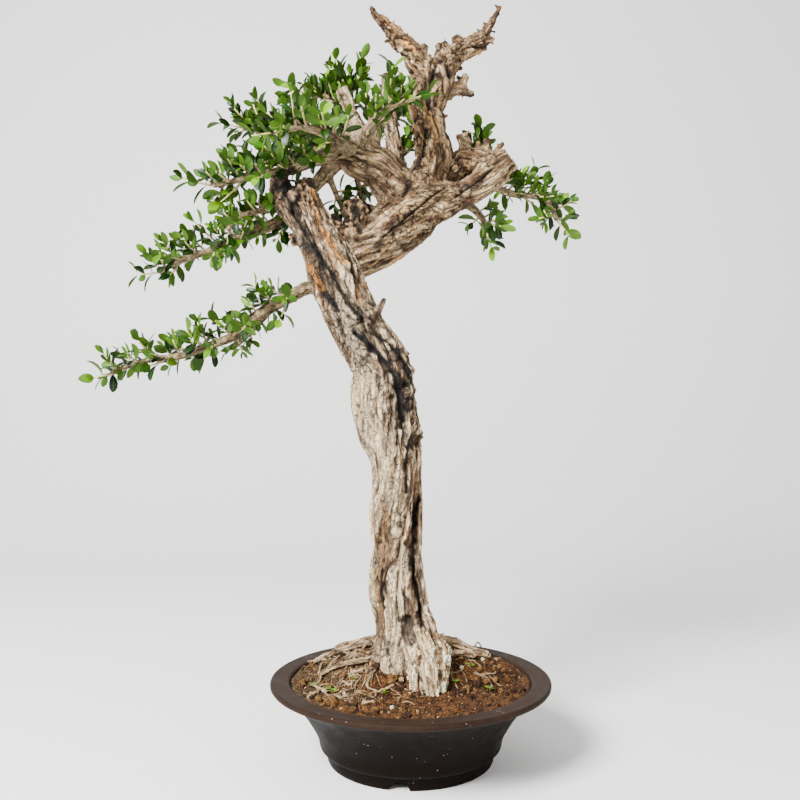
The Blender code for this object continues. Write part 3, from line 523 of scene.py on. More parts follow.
soilShape = {
    "edge": 61.4,
    "centre": (-2.0, 18.0),
    "halfSize": (90.0, 51.0),
    "height": 24.0,
    "radius": 94.6,
    "rings": 190,
    "steps": 340,
    "quickRings": (110, 220),
    # heaped crumbs of two sizes
    "coarseCell": 5.2,
    "fineCell": 2.1,
    # kept below the pot's rim outside this radius
    "brim": (93.5, 61.8),
    # hole for the stump under the trunk: radius, floor
    "stumpHole": (17.5, 32.0),
    # sides and floor, just inside the pot: radius, height
    "under": [
        (94.2, 58.8), (88.6, 52.8), (78.6, 40.8), (69.6, 26.2), (64.1, 16.3), (57.5, 13.5), (2.0, 15.5),
    ],
    "earth": ((46, 27, 13), (118, 74, 34)),
    "amongRoots": (92, 76, 54),
}

lumpLook = {
    # piece, count, least and most size, seed, finer balls
    "heaps": (("earthLumps", 420, 1.2, 3.2, 3, True), ("earthCrumbs", 3200, 0.4, 1.0, 4, False)),
    "reach": 91.0,
    "stop": 93.0,
    # bare round the trunk and its foot: place, radius
    "bare": (((-5, -2), 18), ((13, -28), 5)),
    "rough": 0.48,
    "ochre": ((78, 49, 25), (128, 92, 50)),
    "dark": (48, 31, 21),
    "straw": (188, 160, 116),
    "pellets": [(-66, -34), (-14, -72), (-50, -43), (40, -12), (58, 4)],
    "pelletSize": 1.7,
    "pelletColour": (206, 196, 168),
}

rootletLook = {
    "count": 260,
    # mean and spread of the heading in degrees, left and right of the trunk
    "left": (185, 36),
    "right": (22, 34),
    "reach": (22, 66),
    # none starts outside the first radius or goes past the second, and none touches the trunk's foot
    "startWithin": 84,
    "stop": 91,
    "foot": (13, -28),
    "footClear": 10,
    "radii": [0.22, 0.26, 0.32, 0.40, 0.55, 0.8, 1.3],
    "step": 1.7,
    "steps": (7, 17),
    "light": (164, 138, 98),
    "dark": (70, 50, 32),
}


# Soil and its lumps: the tint of each point broken into grains about 1 mm across, with painted shade between
# them.
def feedSoil(node, put):
    place = objectPlace(node)
    grains = node("ShaderNodeTexVoronoi", Vector=place, Scale=900.0)
    own = node("ShaderNodeSeparateColor", Color=grains.outputs["Color"]).outputs[0]
    crumbs = grainNoise(node, place, 1100.0, 4.0, 0.7)
    # painted shade: darker towards each grain's edge, in the gaps between grains; the same value raises the
    # grains in the bump
    gap = remap(node, grains.outputs["Distance"], 0.25, 0.75, 1.15, 0.35)
    varied = worked(node, "MULTIPLY", gap, remap(node, own, 0.0, 1.0, 0.55, 1.6))
    shade = worked(node, "MULTIPLY", varied, remap(node, crumbs, 0.3, 0.7, 0.7, 1.3))
    put("Base Color", shaded(node, attributeOf(node, "tint"), shade))
    put("Normal", bumped(node, worked(node, "ADD", gap, crumbs), 0.0009, 0.9))


# Twigs and thin roots: the tint of each point with a fine grain.
def feedTwig(node, put):
    grain = grainNoise(node, objectPlace(node), 1500.0, 3.0)
    put("Base Color", shaded(node, attributeOf(node, "tint"), remap(node, grain, 0.3, 0.7, 0.7, 1.2)))


soilMaterial = makeMaterial("soil", feedSoil, Roughness=0.95, Specular_IOR_Level=0.2)
twigMaterial = makeMaterial("twig", feedTwig, Roughness=0.7)


# Height of the soil: flat at the pot's edge, with a mound round the trunk that is higher behind it.
def soilHeight(x, y):
    across = (x - soilShape["centre"][0]) / soilShape["halfSize"][0]
    deep = (y - soilShape["centre"][1]) / soilShape["halfSize"][1]
    inside = np.clip(1 - across**2 - deep**2, 0, 1)
    lumps = 0.7 * np.sin(x / 9.0 + 1.3) * np.cos(y / 7.0) + 0.5 * np.sin((x + y) / 5.0)
    return soilShape["edge"] + soilShape["height"] * inside**0.85 + lumps * np.clip(inside * 4, 0.15, 1)


# Colour of the ground: red-brown crumbs in front, paler and greyer among the roots at the back and left.
def soilTint(points, chance):
    wide = fractal(points * 0.06, 3, 31)
    amongRoots = rise(0.1, 0.6, wide * 0.5 + (-points[:, 0] - 10) / 90 + (points[:, 1] + 20) / 120)
    dark, light = (srgb(*colour) for colour in soilShape["earth"])
    tint = blendColours(dark, light, np.clip(chance, 0, 1))
    return blendColours(tint, srgb(*soilShape["amongRoots"]), amongRoots * 0.6)


# The ground: the mound with heaped crumbs of two sizes, its sides and floor just inside the pot.
def makeSoil():
    rings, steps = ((soilShape["rings"], soilShape["steps"]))
    angle = np.linspace(0, 2 * math.pi, steps, endpoint=False)
    radius = soilShape["radius"] * np.linspace(1, 0.004, rings) ** 0.8
    x, y = np.outer(radius, np.cos(angle)).ravel(), np.outer(radius, np.sin(angle)).ravel()
    flat = np.stack([x, y, 0 * x], 1)
    coarse, _, chance = cells(flat / soilShape["coarseCell"], 41)
    fine, _, chanceFine = cells(flat / soilShape["fineCell"], 47)
    heap = rise(0.40, 0.62, chance)
    z = soilHeight(x, y) - 0.8
    z = z + (0.9 - coarse) * (0.6 + 1.6 * heap) + (0.8 - fine) * 0.9 + fractal(flat * 0.12, 3, 9) * 1.1
    brimRadius, brimHeight = soilShape["brim"]
    z = np.where(np.hypot(x, y) > brimRadius, np.minimum(z, brimHeight), z)
    holeRadius, holeFloor = soilShape["stumpHole"]
    z = np.where(np.hypot(x - woodPaths["trunk"][1][0], y) < holeRadius, holeFloor, z)
    top = np.stack([x, y, z], 1)
    circle = np.stack([np.cos(angle), np.sin(angle), 0 * angle], 1)
    lower = [circle * r + [0, 0, h] for r, h in soilShape["under"]]
    sides = np.concatenate(lower[::-1])
    points = np.vstack([sides, top])
    quads, caps = ringFaces(len(lower) + rings, steps)
    share = 0.25 + 0.6 * chance * heap + 0.5 * (chanceFine - 0.5)
    tint = soilTint(points, np.concatenate([np.full(len(sides), 0.4), share]))
    # painted shade: darker away from the middle of each crumb, between the crumbs
    shade = 0.55 + 0.55 * rise(0.9, 0.2, fine) * rise(1.0, 0.3, coarse)
    tint = withAlpha(tint * np.concatenate([np.ones(len(sides)), shade])[:, None])
    makePiece("soilPiece", points, [quads, caps], soilMaterial, "soil", ["soil"], tint=tint)


# A unit ball: 12 points, or 42 where each edge is split once.
def ball(split=True):
    golden = (1 + 5**0.5) / 2
    ends = [(a, b * golden) for a in (-1, 1) for b in (-1, 1)]
    base = [(0, a, b) for a, b in ends] + [(a, b, 0) for a, b in ends] + [(b, 0, a) for a, b in ends]
    base = np.array(base, float)
    near = np.linalg.norm(base[:, None] - base[None], axis=2) < 2.1
    corners = [
        (i, j, k) if np.dot(np.cross(base[j] - base[i], base[k] - base[i]), base[i]) > 0 else (i, k, j)
        for i in range(12)
        for j in range(i + 1, 12)
        for k in range(j + 1, 12)
        if near[i, j] and near[j, k] and near[i, k]
    ]
    if not split:
        return base / np.linalg.norm(base, axis=1)[:, None], np.array(corners)
    points, middle, faces = [tuple(p) for p in base], {}, []

    def between(a, b):
        key = (min(a, b), max(a, b))
        if key not in middle:
            middle[key] = len(points)
            points.append(tuple((np.array(points[a]) + np.array(points[b])) / 2))
        return middle[key]

    for i, j, k in corners:
        a, b, c = between(i, j), between(j, k), between(k, i)
        faces += [(i, a, c), (a, j, b), (c, b, k), (a, b, c)]
    points = np.array(points)
    return points / np.linalg.norm(points, axis=1)[:, None], np.array(faces)


# Balls of the given sizes pushed out of round, as one set of points and faces, with each point's ball number.
def heapOfBalls(centres, sizes, seed, rough, split=True):
    unit, faces = ball(split)
    count = len(centres)
    shift = np.random.default_rng(seed).uniform(0, 90, (count, 1, 3))
    wide = noise((unit[None] * 1.6 + shift).reshape(-1, 3), seed)
    bumps = wide + 0.7 * noise((unit[None] * 3.1 + shift).reshape(-1, 3), seed + 1)
    points = centres[:, None, :] + unit[None] * (1 + rough * bumps.reshape(count, -1, 1)) * sizes[:, None, :]
    allFaces = faces[None] + (np.arange(count) * len(unit))[:, None, None]
    return points.reshape(-1, 3), allFaces.reshape(-1, 3), np.repeat(np.arange(count), len(unit))


# Crumbs and lumps of baked earth on the ground: ochre to dark brown, the larger ones at the sides.
def makeLumps():
    reach = lumpLook["reach"]
    dark, ochre = (srgb(*colour) for colour in lumpLook["ochre"])
    for name, count, least, most, seed, split in lumpLook["heaps"]:
        chance = np.random.default_rng(seed)
        angle, share = chance.uniform(0, 2 * math.pi, count), np.sqrt(chance.uniform(0.05, 1, count))
        x, y = reach * share * np.cos(angle), reach * share * np.sin(angle)
        size = least + (most - least) * chance.uniform(0, 1, count) ** 2.5
        keep = np.hypot(x, y) < lumpLook["stop"] - size
        for (bareX, bareY), bareRadius in lumpLook["bare"]:
            keep &= np.hypot(x - bareX, y - bareY) > bareRadius
        if split:
            patchy = fractal(np.stack([x, y, 0 * x], 1) * 0.035, 2, 5)
            keep &= patchy + 0.35 * (np.abs(x) / 90) + 0.25 * (y > -30) > 0.05
        x, y, size = x[keep], y[keep], size[keep]
        sizes = size[:, None] * chance.uniform(0.75, 1.15, (len(size), 3))
        centres = np.stack([x, y, soilHeight(x, y) + 0.30 * size - 0.1], 1)
        points, faces, number = heapOfBalls(centres, sizes, 11, lumpLook["rough"], split)
        hue = chance.uniform(0, 1, len(size))[number]
        tint = blendColours(dark, ochre, hue)
        tint = blendColours(tint, srgb(*lumpLook["dark"]), (hue < 0.4) * 0.85)
        tint = blendColours(tint, srgb(*lumpLook["straw"]), (hue > 0.93) * 0.8)
        makePiece(name, points, faces, soilMaterial, "soil", tint=withAlpha(tint))
    x, y = np.array(lumpLook["pellets"], float).T
    centres = np.stack([x, y, soilHeight(x, y) + 1.3], 1)
    points, faces, _ = heapOfBalls(centres, np.full((len(x), 3), lumpLook["pelletSize"]), 5, 0.08)
    tint = np.tile(srgb(*lumpLook["pelletColour"]), (len(points), 1))
    makePiece("pellets", points, faces, soilMaterial, "soil", tint=withAlpha(tint))


# Thin roots over the ground: each wanders from near the trunk, and dips in and out of the crumbs.
def makeRootlets():
    chance = random.Random(21)
    paths = []
    for number in range(rootletLook["count"]):
        side = "left" if number % 10 < 7 else "right"
        heading = math.radians(chance.gauss(*rootletLook[side]))
        reach = chance.uniform(*rootletLook["reach"])
        x, y = reach * math.cos(heading) - 5, reach * math.sin(heading)
        if math.hypot(x, y) > rootletLook["startWithin"]:
            continue
        heading += chance.uniform(-1.5, 1.5)
        thick = chance.choice(rootletLook["radii"])
        rows, bend = [], chance.uniform(-0.09, 0.09)
        steps = chance.randrange(*rootletLook["steps"])
        for step in range(steps):
            x = x + rootletLook["step"] * math.cos(heading)
            y = y + rootletLook["step"] * math.sin(heading)
            heading += bend + chance.gauss(0, 0.24 + 0.16 * (thick > 0.8))
            fromFoot = math.hypot(x - rootletLook["foot"][0], y - rootletLook["foot"][1])
            if math.hypot(x, y) > rootletLook["stop"] or fromFoot < rootletLook["footClear"]:
                break
            lift = thick * 0.5 + 1.3 * math.sin(step * 0.55 + number) + 0.4
            swell = 1 - 0.5 * step / steps + 0.25 * math.sin(step * 2.1 + number * 1.3)
            rows.append((x, y, float(soilHeight(x, y)) + max(lift, -0.6), thick * swell))
        if len(rows) > 5:
            paths.append(np.array(rows))
    points, faces, _ = joinTubes(paths, 6)
    hue = np.clip(0.5 + 0.6 * fractal(points * 0.12, 2, 3) + 0.8 * fractal(points * 0.5, 2, 7), 0, 1)
    tint = blendColours(srgb(*rootletLook["light"]), srgb(*rootletLook["dark"]), hue)
    makePiece("rootlets", points, faces, twigMaterial, "wood", tint=withAlpha(tint))


# The limbs' paths, each point with its radius: (x, y, z, radius).
woodPaths = {
    "trunk": [
        (-4, 0, 24, 20), (-4, 0, 55, 21.5), (-6, -2, 82, 22), (-7, -2, 112, 20.5), (-12, 0, 137, 21),
        (-12, 1, 164, 17.5), (-12, 2, 192, 19.5), (-10, 1, 216, 19), (-12, 0, 240, 20),
        (-16, -1, 260, 23), (-20, -3, 282, 24), (-23, -5, 308, 23), (-31, -6, 324, 21.5),
        (-40, -6, 338, 20.5), (-54, -8, 367, 20.5), (-60, -9, 382, 20), (-65, -10, 396, 19),
        (-72, -12, 409, 16.5), (-79, -14, 423, 15.5), (-87, -16, 437, 16.5), (-91, -17, 445, 17),
    ],
    "footRight": [
        (5, -6, 112, 13), (10, -14, 94, 14), (13, -21, 79, 13), (13, -27, 67, 11), (13, -29, 52, 10),
    ],
    "footLeft": [(-15, -2, 98, 12), (-19, -5, 80, 11), (-17, -10, 66, 10), (-15, -12, 52, 9)],
    "hornLeft": [(-97, -17, 440, 10.5), (-101, -17, 449, 8.5), (-103, -18, 457, 5)],
    "hornRight": [(-85, -17, 440, 10.5), (-82, -17, 449, 8.5), (-80, -17, 457, 5)],
    "bough": [
        (-58, 2, 390, 16), (-44, 8, 401, 19.5), (-28, 12, 412, 21), (-13, 12, 425, 23),
        (0, 10, 437, 23.5), (14, 8, 445, 20), (29, 6, 447, 16), (41, 5, 449, 11.5), (54, 4, 456, 11.5),
        (65, 2, 465, 12), (74, 0, 473, 10.5), (80, -1, 477, 9),
    ],
    "ringTop": [(73, 2, 474, 9), (61, 5, 475, 9.5), (50, 8, 479, 9), (42, 10, 480, 8), (34, 11, 472, 7)],
    "upright": [
        (6, 8, 442, 16), (12, 6, 460, 16), (18, 4, 477, 14), (17, 3, 491, 12.5), (16, 2, 504, 12.5),
        (13, 1, 516, 13.5), (16, 0, 528, 15), (19, 0, 538, 16.5), (18, 0, 547, 14.5),
    ],
    "jinLeft": [
        (14, 0, 540, 12), (6, -1, 552, 10.5), (0, -2, 562, 9), (-10, -4, 571, 7.5), (-18, -6, 579, 5.5),
        (-25, -8, 585, 4), (-32, -10, 593, 1.8),
    ],
    "jinRight": [
        (22, 0, 540, 12.5), (29, 1, 554, 10.5), (38, 2, 562, 8), (48, 4, 568, 7), (56, 5, 573, 6.5),
        (61, 6, 581, 5), (66, 7, 590, 3.5), (73, 8, 603, 1.7),
    ],
    "jinRightNub": [(58, 5, 573, 5.5), (63, 5, 574, 4.5), (67, 5, 574, 2.6)],
    "jinRightBack": [(41, 2, 565, 5.5), (48, 3, 573, 4), (47, 3, 577, 2.4)],
    "sideNub": [(28, 2, 533, 7), (38, 3, 534, 5.5), (45, 4, 535, 4)],
    "plank": [(30, 14, 464, 5), (32, 16, 485, 4), (29, 17, 502, 2.4)],
    "leftLimb": [
        (1, 10, 443, 19.5), (-12, 10, 458, 18), (-25, 9, 471, 16), (-38, 8, 476, 16), (-49, 6, 481, 14.5),
        (-58, 4, 481, 11), (-66, 2, 478, 8),
    ],
    "cutStub": [
        (-34, 6, 486, 10.5), (-40, 2, 499, 7), (-47, -1, 512, 5.5), (-51, -3, 522, 5),
        (-55, -5, 531, 4.8),
    ],
    "backStub": [
        (-10, 16, 471, 9), (-13, 24, 494, 7), (-16, 30, 519, 6.5), (-18, 33, 541, 6.5), (-19, 35, 560, 5),
    ],
    "burl": [(-48, 2, 405, 12), (-45, 4, 420, 11), (-42, 5, 434, 11.5), (-40, 6, 443, 10.5)],
    "charredStub": [(-57, -2, 409, 10), (-60, -2, 420, 8), (-62, -2, 431, 4)],
    "knobLeft": [(-78, -6, 411, 7), (-88, -4, 413, 6), (-95, -3, 411, 5.5)],
    "smallJin": [(-30, -15, 341, 5), (-25, -19, 353, 3), (-20, -23, 362, 1.8)],
    "spikeLeft": [(43, 8, 478, 3.4), (42, 8, 489, 2.4), (38, 8, 499, 1.7)],
    "spikeRight": [(54, 6, 478, 3.4), (54, 6, 487, 2.4), (55, 6, 493, 1.8)],
    "strand": [
        (0, -2, 236, 5.5), (5, -3, 212, 5), (6, -4, 186, 4), (5, -4, 160, 4), (8, -4, 136, 5),
        (10, -5, 110, 8),
    ],
    "ringBack": [(36, 18, 462, 6), (46, 17, 474, 6), (58, 13, 478, 6.5), (70, 8, 474, 7)],
    "footMiddle": [(-1, -12, 104, 10), (4, -19, 88, 11.5), (7, -24, 74, 11), (8, -27, 60, 9.5)],
    "toeLeft": [(2, -22, 84, 6), (6, -31, 72, 5), (9, -36, 59, 3.6)],
    "toeMiddle": [(12, -24, 87, 7), (16, -34, 72, 6), (18, -39, 57, 4.2)],
    "toeRight": [(19, -14, 99, 8), (25, -20, 87, 7), (24, -28, 73, 5.5), (22, -33, 60, 4)],
    "spikeInner": [(47, 8, 482, 4.4), (46, 8, 493, 3.0), (43, 8, 500, 1.7)],
    "spikeMiddle": [(60, 5, 480, 4.6), (61, 5, 489, 3.2), (63, 5, 495, 1.8)],
    "spikeFar": [(68, 3, 478, 4.6), (71, 3, 486, 3.2), (75, 3, 491, 1.8)],
    "nubUpper": [(38, 3, 536, 4.4), (43, 3, 541, 3.4), (44, 3, 546, 2.0)],
    "nubLower": [(40, 3, 533, 4.2), (47, 4, 530, 3.0), (51, 4, 531, 1.8)],
    "crestOne": [(30, 1, 555, 8), (27, 1, 565, 6), (25, 1, 571, 4)],
    "crestTwo": [(40, 2, 561, 7), (38, 2, 570, 5.5), (36, 2, 576, 3.6)],
    "crestLeft": [(4, -1, 555, 7), (9, -1, 563, 5), (12, -1, 568, 3)],
}

branchPaths = {
    "lower": [
        (-71, 2, 374, 7), (-82, 0, 374, 5.5), (-96, -4, 366, 5), (-111, -8, 357, 4.8),
        (-126, -12, 346, 4.3), (-136, -15, 335, 3.8), (-148, -18, 329, 3.4), (-163, -22, 323, 3),
        (-178, -26, 317, 2.7), (-193, -30, 315, 2.4), (-205, -33, 312, 2.2), (-216, -36, 308, 2),
        (-226, -38, 303, 1.9),
    ],
    "lower_under": [(-111, -8, 355, 3), (-129, -5, 336, 2.5), (-141, -2, 326, 2)],
    "middle": [
        (-60, 6, 476, 7), (-77, 12, 460, 5.7), (-93, 14, 444, 5.2), (-106, 8, 429, 4.7),
        (-124, 0, 419, 4), (-139, -6, 412, 3.6), (-156, -10, 402, 3.1), (-172, -14, 396, 2.7),
        (-186, -16, 389, 2.2), (-196, -18, 383, 1.9),
    ],
    "middle_side": [
        (-92, 12, 443, 3.4), (-107, -4, 437, 2.6), (-122, -14, 431, 2.3), (-133, -20, 425, 2.1),
        (-141, -25, 414, 1.9),
    ],
    "canopy_left": [
        (-61, 2, 480, 8), (-76, -6, 474, 5.5), (-87, -12, 467, 4.3), (-102, -16, 462, 3.6),
        (-115, -20, 458, 3.1), (-128, -22, 455, 2.5), (-140, -24, 451, 2.1), (-152, -26, 448, 1.9),
    ],
    "canopy_high_left": [
        (-68, -2, 478, 5), (-85, 4, 487, 4), (-98, 12, 496, 3.4), (-114, 18, 503, 3),
        (-127, 22, 508, 2.3), (-137, 24, 510, 1.9),
    ],
    "canopy_front": [
        (-47, -2, 482, 6.5), (-57, -16, 485, 4.7), (-65, -28, 487, 3.8), (-76, -36, 488, 3),
        (-86, -42, 487, 2.2), (-93, -46, 484, 1.9),
    ],
    "canopy_top": [
        (-46, 6, 492, 5.6), (-53, 14, 511, 4.1), (-61, 20, 527, 3.3), (-71, 24, 536, 2.5),
        (-82, 28, 539, 1.9),
    ],
    "canopy_crest": [(-54, 15, 512, 3.6), (-51, 22, 530, 2.8), (-48, 26, 545, 1.9)],
    "canopy_right": [
        (-39, 0, 488, 5.6), (-31, -18, 497, 3.8), (-23, -28, 502, 3), (-14, -34, 506, 2.4),
        (-5, -38, 508, 1.9),
    ],
    "canopy_back": [
        (-43, 14, 481, 6.5), (-55, 34, 494, 5), (-71, 50, 502, 4.3), (-89, 62, 505, 3.5),
        (-108, 72, 503, 2.7), (-125, 78, 501, 1.9),
    ],
    "canopy_back_right": [
        (-28, 16, 480, 5.7), (-29, 34, 502, 4.6), (-24, 48, 521, 3.6), (-16, 58, 536, 2.6),
        (-8, 64, 545, 1.9),
    ],
    "right": [
        (48, 8, 452, 6), (60, 14, 454, 4.3), (68, 18, 459, 3.5), (79, 20, 456, 3.1), (88, 20, 454, 2.9),
        (100, 18, 452, 2.5), (108, 16, 449, 2.2), (115, 14, 441, 2), (119, 12, 431, 1.9),
    ],
    "right_lower": [(42, 8, 446, 5), (52, 16, 441, 3.4), (59, 18, 434, 2.7), (63, 20, 425, 2.0)],
    "right_back": [(57, 8, 464, 4.2), (56, 24, 482, 3.3), (58, 33, 499, 2.2)],
    # thin shoots behind the hollow of the crown
    "innerLow": [(-66, 10, 466, 3), (-60, 20, 452, 2.2), (-54, 25, 438, 1.8), (-48, 27, 424, 1.4)],
    "innerMiddle": [(-44, 14, 470, 3), (-42, 26, 458, 2.2), (-38, 32, 446, 1.6)],
    "innerHigh": [(-14, 24, 486, 3), (-7, 32, 490, 2.2), (1, 36, 498, 1.8), (6, 38, 508, 1.4)],
}

# roots along the ground: from (x, y), to (x, y), radius, sideways bend
rootEnds = [
    ((-18, 6), (-78, 16), 3.4, 5.0),
    ((-16, -2), (-70, -14), 3.0, -4.0),
    ((-12, 12), (-60, 46), 3.4, 6.0),
    ((14, 8), (62, 14), 4.4, -5.0),
    ((12, 12), (50, 36), 3.8, 6.0),
    ((10, 2), (52, -2), 3.2, 4.0),
    ((-4, 14), (-14, 62), 3.2, -5.0),
]

# Kind of surface for the dead limbs, with the twist of the grain in turns per metre.
# The rest are "dead" with a twist of one.
grainKinds = {
    "trunk": {"trunk": -1.1},
    "dead": {"strand": 0.5},
    "bark": {"footLeft": 0.5},
    "crown": {"bough": -1.6, "leftLimb": 1.2},
    "bleached": {"footRight": 0.8, "footMiddle": 0.4, "toeLeft": 1.5, "toeMiddle": -1.5, "toeRight": 1.5},
    "jagged": {
        "upright": 2.2, "jinLeft": 3.0, "jinRight": -3.0, "crestOne": 2.0, "crestTwo": 2.0, "crestLeft": 2.0,
        "spikeLeft": 1.0, "spikeRight": 1.0, "spikeInner": 1.0, "spikeMiddle": 1.0, "spikeFar": 1.0,
        "nubUpper": 1.0, "nubLower": 1.0, "sideNub": 1.0, "jinRightNub": 1.0, "jinRightBack": 1.0,
        "ringTop": 1.0, "ringBack": 1.0,
    },
    "burl": {"burl": 2.0, "charredStub": 2.0, "knobLeft": 2.0, "hornLeft": 1.0, "hornRight": 1.0},
}
grainOf = {limb: (kind, twist) for kind, limbs in grainKinds.items() for limb, twist in limbs.items()}

woodLook = {
    # limbs grown together with the trunk and roots; the rest are the crown
    "onTrunk": [
        "trunk", "footRight", "footLeft", "hornLeft", "hornRight", "knobLeft", "smallJin", "charredStub",
        "strand", "footMiddle", "toeLeft", "toeMiddle", "toeRight",
    ],
    # lobes of a dead limb's outline, and cords on limbs that start thicker than this radius
    "lobes": 0.09,
    "cordsFrom": 9.0,
    "cordCount": 7,
    "cordSize": (0.20, 0.32),
    "cordSunk": (0.55, 0.85),
    # the trunk's top crumbles above this height; the crown's middle, with bark plates round it
    "crumbleFrom": 436.0,
    "hub": (0.0, 6.0, 444.0),
    "charLeft": 0.26,
    "trunkVoxel": 0.80,
    "crownVoxel": 0.70,
    "branchVoxel": 0.80,
    "quickVoxel": 1.3,
    "trunkTriangles": 196000,
    "crownTriangles": 196000,
    "branchTriangles": 90000,
    "chipSpacing": 2.6,
    "chipReach": 4.4,
    "depthShare": 0.2,
    "flatBottom": 30.0,
    "warmth": (1.04, 0.99, 0.89),
    "footLift": 0.32,
    # the line between bark on the left and bare wood on the right: (z, x)
    "barkEdge": [
        (56, 4), (96, 1), (127, 0), (158, -2), (206, -8), (253, -13), (284, -19), (315, -26), (347, -34),
        (370, -59), (410, -87), (457, -112),
    ],
    # raised ropes of twisted wood: points, width, height
    "ropes": [
        ([(-86, -31, 426), (-70, -31, 409), (-54, -30, 387), (-39, -28, 363), (-30, -26, 351)], 3.4, 3.0),
        ([(-72, -24, 428), (-55, -24, 402), (-41, -22, 379), (-31, -22, 361)], 2.8, 2.0),
        ([(-82, -26, 399), (-68, -27, 377), (-54, -27, 360), (-42, -26, 349)], 2.8, 1.8),
        ([(-47, -27, 343), (-39, -28, 347), (-30, -26, 350)], 2.4, 1.8),
        ([(62, -8, 474), (42, -8, 452), (18, -12, 430), (-6, -14, 414)], 4.0, 2.0),
        ([(-2, -14, 470), (10, -16, 450), (30, -10, 446)], 3.4, 1.6),
    ],
    # furrows along the grain: points, width, depth
    "grooves": [
        (
            [
                (7, -12, 207), (4, -14, 194), (2.3, -16, 167), (2.2, -16, 154), (3.5, -16, 141),
                (5.7, -16, 128), (7.4, -16, 115), (9.3, -17, 103),
            ],
            2.0, 9.0,
        ),
        ([(-92, -32, 428), (-76, -30, 403), (-60, -29, 379), (-47, -27, 356), (-38, -26, 346)], 1.9, 4.5),
        ([(-84, -26, 390), (-70, -27, 368), (-56, -27, 352)], 1.6, 2.6),
        ([(-43, -28, 335), (-28, -29, 322), (-15, -28, 306), (-9, -24, 284), (-7, -22, 262)], 2.0, 3.6),
        ([(-34, -29, 337), (-18, -27, 328), (-5, -22, 314), (-1, -16, 300)], 1.6, 3.0),
        ([(-2, -18, 252), (-4, -18, 232), (-3, -18, 212)], 1.5, 3.0),
        ([(-10, -24, 150), (-11, -24, 128), (-9, -24, 112)], 1.2, 2.5),
        ([(-22, -18, 160), (-23, -18, 140), (-21, -18, 122)], 1.1, 2.2),
        ([(12, -14, 498), (10, -14, 480), (4, -16, 462), (-6, -16, 444)], 1.7, 4.5),
        ([(28, -12, 452), (12, -14, 440), (-6, -14, 425), (-22, -12, 412)], 0.9, 2.4),
        ([(70, -8, 470), (52, -8, 456), (30, -8, 442)], 0.8, 1.8),
        ([(20, -14, 548), (16, -14, 530), (14, -13, 512)], 1.8, 3.5),
        ([(7, -34, 88), (6, -38, 76), (5, -40, 62)], 1.1, 3.0),
        ([(17, -32, 80), (18, -34, 70), (19, -36, 60)], 0.8, 2.2),
    ],
    # hollows: centre, width, depth
    "hollows": [
        ((-4, -27, 296), 3.4, 5.0), ((-30, -26, 322), 3.6, 4.0), ((-93, -18, 462), 6.0, 7.0),
        ((30, -10, 540), 3.5, 3.0), ((7, -37, 71), 2.2, 4.0), ((17, -34, 66), 1.6, 2.4),
        ((-2, -22, 318), 2.6, 4.0), ((-14, -28, 286), 2.4, 3.0), ((2, -16, 278), 2.6, 3.5),
        ((-6, -22, 268), 2.2, 3.0), ((-90, -6, 412), 3.4, 4.0), ((-96, -26, 440), 3.0, 3.5),
        ((-82, -28, 446), 2.6, 3.5), ((4, -12, 506), 2.2, 3.0), ((20, -12, 516), 2.0, 3.0),
        ((-40, -10, 418), 3.0, 4.0), ((-46, -8, 436), 2.6, 3.5),
    ],
    # flat-bottomed recesses: from, to, width, depth
    "recesses": [((-3, -23, 112), (-1, -24, 99), 5.0, 3.6), ((2, -18, 286), (-2, -20, 278), 3.5, 2.0)],
    # burls with a ring furrow: centre, width, height
    "burls": [
        ((0, -16, 322), 4.6, 3.0), ((1, -16, 307), 4.0, 3.2), ((0, -16, 291), 4.6, 2.8),
        ((9, -10, 256), 5.0, 3.0), ((-12, -27, 318), 4.4, 2.0), ((-12, -28, 300), 4.4, 2.2),
        ((-11, -24, 181), 4.2, 2.4), ((-90, -28, 440), 5.0, 2.0), ((-27, -8, 133), 6.0, 2.5),
        ((-26, -6, 92), 6.0, 2.5), ((-22, -26, 334), 4.0, 1.8),
    ],
    # fresh orange wood, and lichen at the foot: from, to, width, colour
    "stains": [
        ((-76, -28, 444), (-72, -28, 424), 2.4, (214, 150, 78)),
        ((-72, -27, 420), (-52, -27, 388), 2.6, (214, 150, 78)),
        ((-79, -28, 388), (-70, -28, 370), 3.0, (214, 150, 78)),
        ((-4, -2, 566), (2, -2, 558), 3.0, (214, 150, 78)),
        ((-32, -8, 148), (-29, -8, 124), 2.8, (214, 200, 158)),
    ],
    # painted shade, darkened patches of wood: from, to, width, strength
    "paintedShadePatches": [
        ((-32, -26, 342), (-18, -24, 313), 18.0, 0.35), ((-16, -24, 310), (-8, -20, 284), 16.0, 0.25),
        ((-58, -28, 372), (-34, -28, 310), 18.0, 0.25), ((-98, -28, 446), (-66, -28, 396), 18.0, 0.3),
        ((-10, -20, 282), (-4, -18, 252), 11.0, 0.5), ((-90, -28, 424), (-56, -26, 372), 7.0, 0.45),
        ((-6, -14, 418), (-30, -12, 408), 9.0, 0.4), ((-60, -26, 372), (-40, -26, 344), 5.0, 0.4),
        ((-20, -20, 110), (-14, -22, 72), 10.0, 0.2), ((-44, -4, 446), (-40, -6, 410), 10.0, 0.3),
        ((-12, -8, 462), (-58, -8, 482), 16.0, 0.25), ((5, -8, 212), (8, -10, 146), 4.0, 0.5),
    ],
    # charred wood: from, to, width
    "char": [
        ((-42, -26, 336), (-18, -26, 312), 3.0), ((-12, -24, 304), (-5, -20, 272), 3.0),
        ((-104, -22, 450), (-76, -22, 450), 6.0), ((4, -15, 190), (9, -14, 108), 1.7),
        ((-96, -28, 436), (-88, -28, 424), 4.0),
    ],
}
